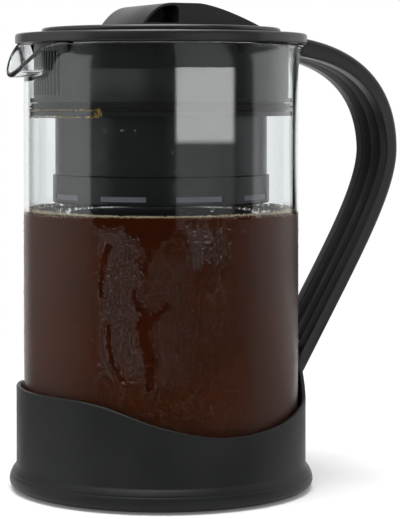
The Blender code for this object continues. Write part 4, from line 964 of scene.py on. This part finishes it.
# Collar seal: a moulded silicone ring whose thin lip wipes the inside of the glass.
# It squeezes over the lower flange and sits between the two.
SEAL_INNER = 51.5 * MM
SEAL_HUB = 53.7 * MM
SEAL_EDGE = 54.5 * MM
SEAL_BASE = 156.5 * MM
SEAL_TOP = 159.5 * MM
SEAL_LIP = 0.4 * MM
SEAL_ROUND = 0.12 * MM
seal_middle = (SEAL_BASE + SEAL_TOP) / 2
seal_profile = [(SEAL_INNER, SEAL_BASE), (SEAL_HUB, SEAL_BASE), (SEAL_HUB, seal_middle - SEAL_LIP),
                (SEAL_EDGE, seal_middle - SEAL_LIP / 2), (SEAL_EDGE, seal_middle + SEAL_LIP),
                (SEAL_HUB, seal_middle + SEAL_LIP), (SEAL_HUB, SEAL_TOP), (SEAL_INNER, SEAL_TOP)]
collar_seal = turn_piece("wiping_seal", seal_profile, LID_STEPS, closed=True)
round_edges(collar_seal, SEAL_ROUND, segments=2)
collar_seal.data.materials.append(silicone)
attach(collar_seal, "insert")
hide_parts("collar_seal")

# Residue: the golden-brown line that old brew left where the seal's two lips touch the glass.
# It runs round the pouring side and ends in a small thick blob.
RESIDUE_LINES = (156.8 * MM, 154.0 * MM)
RESIDUE_SPAN = (-19, 37)
RESIDUE_PITCH = 0.55
RESIDUE_PITCH_SPREAD = (0.7, 1.3)
RESIDUE_DRIFT = 0.08
RESIDUE_INSET = 0.3 * MM
CRUMB_WIDTH = 0.5 * MM
LINE_CRUMBS = ((0.22, 0.42), 0.22 * MM)
BLOB_CRUMBS = ((0.3, 0.6), 0.25 * MM)
BLOB_COUNT = 40
BLOB_SPREAD = 0.8
RESIDUE_BLOB = (38.5, 155.2 * MM)
OIL_PATCH = 0.9 * MM
OIL_THIN = (0.4, 0.62)
residue_radius = jug_bore - RESIDUE_INSET
bpy.ops.object.select_all(action='DESELECT')
bpy.ops.mesh.primitive_ico_sphere_add(subdivisions=2, radius=1)
crumb = bpy.context.object
spots = []
for height in RESIDUE_LINES:
    angle = RESIDUE_SPAN[0]
    while angle < RESIDUE_SPAN[1]:
        drift = draw.uniform(-RESIDUE_DRIFT, RESIDUE_DRIFT) * MM
        spots.append((residue_radius, angle, height + drift, CRUMB_WIDTH,
                      draw.uniform(*LINE_CRUMBS[0]) * MM, LINE_CRUMBS[1]))
        angle += RESIDUE_PITCH * draw.uniform(*RESIDUE_PITCH_SPREAD)
for number in range(BLOB_COUNT):
    spots.append((residue_radius, RESIDUE_BLOB[0] + draw.gauss(0, BLOB_SPREAD),
                  RESIDUE_BLOB[1] + draw.gauss(0, BLOB_SPREAD) * MM,
                  CRUMB_WIDTH, draw.uniform(*BLOB_CRUMBS[0]) * MM, BLOB_CRUMBS[1]))
residue = copy_round_axis("coffee_residue", crumb, spots)
# Dried coffee oils: translucent gold where thin, nearly black where thick, with a wet gloss.
dried, tree = new_material("dried_coffee_oils")
place = add_node(tree, 'ShaderNodeTexCoord').outputs["Object"]
patches = add_node(tree, 'ShaderNodeTexNoise', {"Vector": place, "Scale": 1 / OIL_PATCH, "Detail": 2.0})
thin = add_node(tree, 'ShaderNodeMapRange',
                {"Value": patches, "From Min": OIL_THIN[0], "From Max": OIL_THIN[1]})
tint = add_node(tree, 'ShaderNodeMix', {0: thin, 6: linear("#2A1C08"), 7: linear("#D0AC48")},
                data_type='RGBA').outputs[2]
shader = add_node(tree, 'ShaderNodeBsdfPrincipled', {"Base Color": tint, "Roughness": 0.2})
add_node(tree, 'ShaderNodeOutputMaterial', {"Surface": shader})
residue.data.materials.append(dried)
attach(residue, "insert")

# Basket: the cup that holds the ground coffee, a plain drawn-out wall in satin ABS.
# It twists up into the collar, and its lower spigot takes the drain cup.
BASKET_BORE = 42.0 * MM
BASKET_RADIUS = 43.9 * MM
BASKET_STEP = 130.3 * MM
BASKET_TOP = 158.0 * MM
SPIGOT_RADIUS = 43.0 * MM
SPIGOT_FOOT = 126.6 * MM
BASKET_ROUND = 0.25 * MM
basket_profile = [(BASKET_BORE, SPIGOT_FOOT), (SPIGOT_RADIUS, SPIGOT_FOOT), (SPIGOT_RADIUS, BASKET_STEP),
                  (BASKET_RADIUS, BASKET_STEP), (BASKET_RADIUS, BASKET_TOP), (BASKET_BORE, BASKET_TOP)]
basket = turn_piece("coffee_basket", basket_profile, LID_STEPS, closed=True)
round_edges(basket, BASKET_ROUND, segments=2)
basket.data.materials.append(satin_black)
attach(basket, "basket")
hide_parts("basket_wall")

# Drain cup: the basket's bottom, with long slots at the foot of its wall and windows in its floor.
# Coffee leaves here, through the wire cloth that it holds.
DRAIN_RADIUS = 44.9 * MM
DRAIN_BORE = 43.3 * MM
DRAIN_FOOT = 118.7 * MM
DRAIN_FLOOR = 120.2 * MM
DRAIN_LEDGE = (41.3 * MM, 123.4 * MM)
DRAIN_TOP = 130.0 * MM
DRAIN_SLOTS = 9
DRAIN_SLOT_TOP = 122.6 * MM
DRAIN_SLOT_SPAN = 25
DRAIN_SLOT_TURN = 5
DRAIN_BEVEL = 0.8 * MM
WINDOW_SPAN = 24
WINDOW_RING_SHARES = ((0.30, 0.54), (0.62, 0.88))


def round_blocks(name, inner, outer, base, top, span, steps):
    """One block for each slot of the drain cup."""
    middles = [DRAIN_SLOT_TURN + number * 360 / DRAIN_SLOTS for number in range(DRAIN_SLOTS)]
    return [ring_block(name, inner, outer, base, top, middle, span, steps) for middle in middles]


drain_profile = [(0, DRAIN_FOOT)]
drain_profile += quarter((DRAIN_RADIUS - DRAIN_BEVEL, DRAIN_FOOT + DRAIN_BEVEL), DRAIN_BEVEL, -90, 0, steps=5)
drain_profile += [(DRAIN_RADIUS, DRAIN_TOP), (DRAIN_BORE, DRAIN_TOP), (DRAIN_BORE, DRAIN_LEDGE[1]),
                  DRAIN_LEDGE, (DRAIN_LEDGE[0], DRAIN_FLOOR), (0, DRAIN_FLOOR)]
drain = turn_piece("drain_cup", drain_profile, LID_STEPS)
cutters = round_blocks("drain_slot", DRAIN_LEDGE[0] - CUT_REACH, DRAIN_RADIUS + CUT_REACH,
                       DRAIN_FLOOR + CUT_GAP, DRAIN_SLOT_TOP, DRAIN_SLOT_SPAN, steps=8)
cut_with(drain, join_pieces("drain_slots", cutters))
cutters = []
for near, far in WINDOW_RING_SHARES:
    cutters += round_blocks("window", near * DRAIN_LEDGE[0], far * DRAIN_LEDGE[0], DRAIN_FOOT - CUT_REACH,
                            DRAIN_FLOOR + CUT_GAP / 2, WINDOW_SPAN, steps=6)
cut_with(drain, join_pieces("drain_windows", cutters))
smooth_faces(drain)
drain.data.materials.append(satin_black)
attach(drain, "drain")
panels = join_pieces("slot_mesh", round_blocks("mesh_panel", DRAIN_BORE + CUT_GAP, DRAIN_BORE + 4 * CUT_GAP,
                                               DRAIN_FLOOR, DRAIN_SLOT_TOP, DRAIN_SLOT_SPAN, steps=8))
# Fine grey nylon gauze, moulded into the slots, that holds back the finest grounds. Its pale grey is painted
# light: the bright room seen through the slots.
gauze_painted_backlight = grained_surface("nylon_gauze_painted_backlight", "#9694A2", "#A8A6B2", roughness=0.6,
                        grain=0.25 * MM, grain_depth=0.05 * MM, sheen_patch=4 * MM)
panels.data.materials.append(gauze_painted_backlight)
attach(panels, "drain")
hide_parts("drain_cap")

# Lid cap: the disc that closes the filling neck. A plug wall below it has a groove for its seal.
# It lifts out to fill the basket.
CAP_RADIUS = 49.5 * MM
CAP_BASE = 188.35 * MM
CAP_TOP = 190.45 * MM
CAP_ROUND = 1.2 * MM
PLUG_SHOULDER = 45.3 * MM
PLUG_RADIUS = 44.0 * MM
PLUG_BORE = 42.2 * MM
PLUG_FOOT = 180.55 * MM
PLUG_FLANGE = 2.0 * MM
groove_foot = PLUG_FOOT + PLUG_FLANGE
groove_head = CAP_BASE - PLUG_FLANGE
cap_profile = [(0, CAP_BASE), (PLUG_BORE, CAP_BASE), (PLUG_BORE, PLUG_FOOT), (PLUG_SHOULDER, PLUG_FOOT),
               (PLUG_SHOULDER, groove_foot), (PLUG_RADIUS, groove_foot), (PLUG_RADIUS, groove_head),
               (PLUG_SHOULDER, groove_head), (PLUG_SHOULDER, CAP_BASE)]
cap_profile += quarter((CAP_RADIUS - CAP_ROUND / 2, CAP_BASE + CAP_ROUND / 2), CAP_ROUND / 2, -90, 0, steps=4)
cap_profile += quarter((CAP_RADIUS - CAP_ROUND, CAP_TOP - CAP_ROUND), CAP_ROUND, 0, 90, steps=6)
cap_profile += [(0, CAP_TOP)]
cap = turn_piece("cap_disc", cap_profile, LID_STEPS)
cap.data.materials.append(satin_black)
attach(cap, "cap")
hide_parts("lid_cap")

# Cap grip: the hump across the cap, with a curved ramp on the spout side and a long falling tail.
# A pocket on each side lets finger and thumb close on the web between them.
GRIP_BASE = 190.75 * MM
GRIP_TOP = 200.15 * MM
GRIP_HALF_WIDTH = 21.4 * MM
GRIP_SPOUT_END = -18.3 * MM
GRIP_CREST = (-4.0 * MM, 7.0 * MM)
GRIP_TAIL_END = 34.7 * MM
GRIP_PLATE = 1.2 * MM
GRIP_EDGE = 0.7 * MM
GRIP_ROUND = 0.45 * MM
POCKET_DEPTH = 14.5 * MM
POCKET_END = -2.0 * MM
POCKET_ROUND = 2.2 * MM
GRIP_STEPS = 24
RAMP_CURVE = 2.4
TAIL_CURVE = 1.45


def side_plate(name, outline, near, far):
    """Extrude an outline of (x, z) points sideways: a filled circle, its points moved, then extruded."""
    bpy.ops.object.select_all(action='DESELECT')
    bpy.ops.mesh.primitive_circle_add(vertices=len(outline), radius=1, fill_type='NGON')
    plate = name_piece(name)
    for corner, (along, height) in zip(plate.data.vertices, outline):
        corner.co = (along, near, height)
    bpy.ops.object.mode_set(mode='EDIT')
    bpy.ops.mesh.select_all(action='SELECT')
    bpy.ops.mesh.extrude_region_move(TRANSFORM_OT_translate={"value": (0, far - near, 0)})
    close_edit()
    return plate


def grip_ramp(depth):
    """The ramp's upper face from the cap up to the crest, moved inwards by a depth."""
    run = GRIP_CREST[0] - GRIP_SPOUT_END
    fall = GRIP_TOP - GRIP_BASE - GRIP_EDGE
    points = []
    for step in range(GRIP_STEPS + 1):
        share = 1 - step / GRIP_STEPS
        slope = math.atan(RAMP_CURVE * fall / run * share ** (RAMP_CURVE - 1))
        points.append((GRIP_CREST[0] - run * share + depth * math.sin(slope),
                       GRIP_TOP - fall * share ** RAMP_CURVE - depth * math.cos(slope)))
    return points


grip_outline = [(GRIP_TAIL_END, GRIP_BASE), (GRIP_SPOUT_END, GRIP_BASE)] + grip_ramp(0)
for step in range(GRIP_STEPS + 1):
    share = step / GRIP_STEPS
    grip_outline.append((GRIP_CREST[1] + (GRIP_TAIL_END - GRIP_CREST[1]) * share,
                         GRIP_TOP - (GRIP_TOP - GRIP_BASE - GRIP_EDGE) * share ** TAIL_CURVE))
grip = side_plate("cap_hump", grip_outline, -GRIP_HALF_WIDTH, GRIP_HALF_WIDTH)
floor_height = GRIP_BASE + GRIP_PLATE
bend_start = POCKET_END - POCKET_ROUND
roof_line = [point for point in grip_ramp(GRIP_PLATE) if point[1] > floor_height and point[0] < bend_start]
pocket_outline = [(roof_line[0][0] - GRIP_EDGE / 2, floor_height)] + roof_line
pocket_outline += quarter((bend_start, GRIP_TOP - GRIP_PLATE - POCKET_ROUND), POCKET_ROUND, 90, 0, steps=8)
pocket_outline += [(POCKET_END, floor_height)]
for side in (-1, 1):
    cut_with(grip, side_plate("pocket", pocket_outline, side * (GRIP_HALF_WIDTH + GRIP_PLATE),
                              side * (GRIP_HALF_WIDTH - POCKET_DEPTH)))
round_edges(grip, GRIP_ROUND, segments=3, angle=40)
# The same ABS, duller and a shade greyer.
greyer_black_abs = grained_surface("greyer_duller_abs", "#232426", "#2A2B2C", roughness=0.42,
                               grain=0.3 * MM, grain_depth=0.008 * MM, sheen_patch=12 * MM, shine=0.32)
grip.data.materials.append(greyer_black_abs)
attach(grip, "cap")
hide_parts("cap_grip")

# Studio: a white sweep behind, an overhead softbox, two bent reflector cards and a low bright window.
# The floor is a sheet of pale paper that fades into the sweep and keeps the maker's shadow.
AMBIENT = 0.62
DIM = 0.05
WINDOW_LEVEL = 5.0
WINDOW_TAIL = 0.4
FRONT_LEVEL = 0.33
# Stops of (degrees right of the camera's side, level) for what stands round the maker
SWEEP_STOPS = [(-180, 1), (-148, 1), (-144, DIM), (144, DIM), (148, 1), (180, 1)]
FRONT_STOPS = [(-180, 0), (-66, 0), (-60, 1), (-22, 1), (-6, 0.2), (60, 0.2), (66, 0)]
WINDOW_STOPS = [(-180, 0), (11, 0), (14, 1), (61, 1), (64, 0)]
BENT_STOPS = [(-180, 1), (-100, 1), (-60, 0.4), (60, 0.4), (100, 1), (180, 1)]
# Heights, as rises of a direction, over which the front and the window's two edges fade
FRONT_EDGE = (-0.004, 0.01)
WINDOW_FOOT = (-0.0225, -0.0195)
WINDOW_HEAD = (0.0145, 0.0180)
FLOOR_RADIUS = 520 * MM
FLOOR_FADE = (260 * MM, 480 * MM)
SHEET_FADE = (150 * MM, 180 * MM)
FLOOR_COLOUR = "#EDEDED"
FLOOR_LIFT = 0.11
SOFTBOX_SIZE = 900 * MM
SOFTBOX_PLACE = (-0.15, -0.1, 1150 * MM)
SOFTBOX_POWER = 16
CARD_RADIUS = 450 * MM
CARD_FOOT = -10 * MM
CARD_HEAD = 700 * MM
CARD_FALL = (-0.6 * CARD_RADIUS, 0.3 * CARD_RADIUS)
# Each card: its middle and span in degrees from the spout, and its level at both ends
CARDS = {"left_card": (-27.5, 71, 0.4, 1.12), "right_card": (170.5, 55, 0.95, 0.95)}


def seen_or_through(tree, path):
    """One for what the camera, a mirror image or the glass shows, and nought for plain light."""
    seen = add_node(tree, 'ShaderNodeMath', {0: path["Is Camera Ray"], 1: path["Is Glossy Ray"]},
                    operation='MAXIMUM')
    return add_node(tree, 'ShaderNodeMath', {0: seen, 1: path["Is Transmission Ray"]}, operation='MAXIMUM')


world = bpy.data.worlds.new("studio")
bpy.context.scene.world = world
world.use_nodes = True
tree = world.node_tree
tree.nodes.clear()
direction = add_node(tree, 'ShaderNodeTexCoord').outputs["Generated"]
turned = add_node(tree, 'ShaderNodeVectorRotate',
                  {"Vector": direction, "Axis": (0, 0, 1), "Angle": -CAMERA_AZIMUTH},
                  rotation_type='AXIS_ANGLE')
parts = add_node(tree, 'ShaderNodeSeparateXYZ', {0: turned}).outputs
behind = add_node(tree, 'ShaderNodeMath', {0: parts["Y"], 1: -1.0}, operation='MULTIPLY')
round_angle = add_node(tree, 'ShaderNodeMath', {0: parts["X"], 1: behind}, operation='ARCTAN2')
share = add_node(tree, 'ShaderNodeMapRange',
                 {"Value": round_angle, "From Min": -math.pi, "From Max": math.pi})
ramps = []
for stops in (SWEEP_STOPS, FRONT_STOPS, WINDOW_STOPS, BENT_STOPS):
    ramp = add_node(tree, 'ShaderNodeValToRGB', {0: share})
    for index, (angle, level) in enumerate(stops):
        place = (angle + 180) / 360
        stop = ramp.color_ramp.elements[index] if index < 2 else ramp.color_ramp.elements.new(place)
        stop.position = place
        stop.color = (level, level, level, 1)
    ramps.append(ramp)
sweep, front_round, window_round, bent = ramps
above = add_node(tree, 'ShaderNodeMapRange',
                 {"Value": parts["Z"], "From Min": FRONT_EDGE[0], "From Max": FRONT_EDGE[1],
                  "To Max": FRONT_LEVEL})
low_edge = add_node(tree, 'ShaderNodeMapRange',
                    {"Value": parts["Z"], "From Min": WINDOW_FOOT[0], "From Max": WINDOW_FOOT[1],
                     "To Min": WINDOW_TAIL, "To Max": WINDOW_LEVEL})
high_edge = add_node(tree, 'ShaderNodeMapRange',
                     {"Value": parts["Z"], "From Min": WINDOW_HEAD[0], "From Max": WINDOW_HEAD[1],
                      "To Min": 1.0, "To Max": 0.0})
front = add_node(tree, 'ShaderNodeMath', {0: front_round, 1: above}, operation='MULTIPLY')
window_rows = add_node(tree, 'ShaderNodeMath', {0: low_edge, 1: high_edge}, operation='MULTIPLY')
window = add_node(tree, 'ShaderNodeMath', {0: window_round, 1: window_rows}, operation='MULTIPLY')
lit_room = add_node(tree, 'ShaderNodeMath', {0: sweep, 1: front}, operation='ADD')
mirrored = add_node(tree, 'ShaderNodeMath', {0: lit_room, 1: window}, operation='ADD')
# What the glass only bends, and doesn't mirror, stays pale nearly all round.
path = add_node(tree, 'ShaderNodeLightPath').outputs
only_bent = add_node(tree, 'ShaderNodeMath', {0: path["Glossy Depth"], 1: 0.5}, operation='LESS_THAN')
through = add_node(tree, 'ShaderNodeMath', {0: path["Is Transmission Ray"], 1: only_bent},
                   operation='MULTIPLY')
past_glass = add_node(tree, 'ShaderNodeMix', {0: through, 2: mirrored, 3: bent})
seen_level = add_node(tree, 'ShaderNodeMix', {0: path["Is Camera Ray"], 2: past_glass, 3: 1.0})
level = add_node(tree, 'ShaderNodeMix', {0: seen_or_through(tree, path), 2: AMBIENT, 3: seen_level})
sky = add_node(tree, 'ShaderNodeBackground', {"Color": linear(WHITE), "Strength": level})
add_node(tree, 'ShaderNodeOutputWorld', {"Surface": sky})

for name, (middle, span, first, last) in CARDS.items():
    card = ring_block(name, CARD_RADIUS, CARD_RADIUS + MM, CARD_FOOT, CARD_HEAD, middle, span, steps=24)
    card_paper, tree = new_material(name + "_glow")
    place = add_node(tree, 'ShaderNodeTexCoord').outputs["Object"]
    facing = add_node(tree, 'ShaderNodeVectorMath', {0: place, 1: tuple(to_camera)},
                      operation='DOT_PRODUCT').outputs["Value"]
    fall = add_node(tree, 'ShaderNodeMapRange', {"Value": facing, "From Min": CARD_FALL[0],
                                                 "From Max": CARD_FALL[1], "To Min": first, "To Max": last})
    glow = add_node(tree, 'ShaderNodeEmission', {"Color": linear(WHITE), "Strength": fall})
    add_node(tree, 'ShaderNodeOutputMaterial', {"Surface": glow})
    card.data.materials.append(card_paper)
    card.visible_camera = False
    card.visible_diffuse = False
    card.visible_shadow = False

bpy.ops.object.select_all(action='DESELECT')
bpy.ops.mesh.primitive_circle_add(vertices=96, radius=FLOOR_RADIUS, fill_type='NGON', location=(0, 0, 0))
floor = name_piece("studio_floor")
floor_paper, tree = new_material("matt_white_paper")
place = add_node(tree, 'ShaderNodeTexCoord').outputs["Object"]
distance = add_node(tree, 'ShaderNodeVectorMath', {0: place}, operation='LENGTH').outputs["Value"]
fade, sheet = [add_node(tree, 'ShaderNodeMapRange', {"Value": distance, "From Min": near, "From Max": far},
                        interpolation_type='SMOOTHSTEP') for near, far in (FLOOR_FADE, SHEET_FADE)]
path = add_node(tree, 'ShaderNodeLightPath').outputs
ends = add_node(tree, 'ShaderNodeMix', {0: path["Is Glossy Ray"], 2: fade, 3: sheet})
lift = add_node(tree, 'ShaderNodeMath', {0: seen_or_through(tree, path), 1: FLOOR_LIFT},
                operation='MULTIPLY')
paper = add_node(tree, 'ShaderNodeBsdfDiffuse', {"Color": linear(FLOOR_COLOUR)})
glow = add_node(tree, 'ShaderNodeEmission', {"Color": linear(WHITE), "Strength": lift})
lit_paper = add_node(tree, 'ShaderNodeAddShader', {0: paper, 1: glow})
clear = add_node(tree, 'ShaderNodeBsdfTransparent')
surface = add_node(tree, 'ShaderNodeMixShader', {0: ends, 1: lit_paper, 2: clear})
add_node(tree, 'ShaderNodeOutputMaterial', {"Surface": surface})
floor.data.materials.append(floor_paper)

bpy.ops.object.light_add(type='AREA', location=SOFTBOX_PLACE, rotation=(0, 0, 0))
softbox = bpy.context.object
softbox.data.shape = 'SQUARE'
softbox.data.size = SOFTBOX_SIZE
softbox.data.energy = SOFTBOX_POWER
softbox.visible_camera = False

bpy.context.scene.view_settings.view_transform = 'Standard'
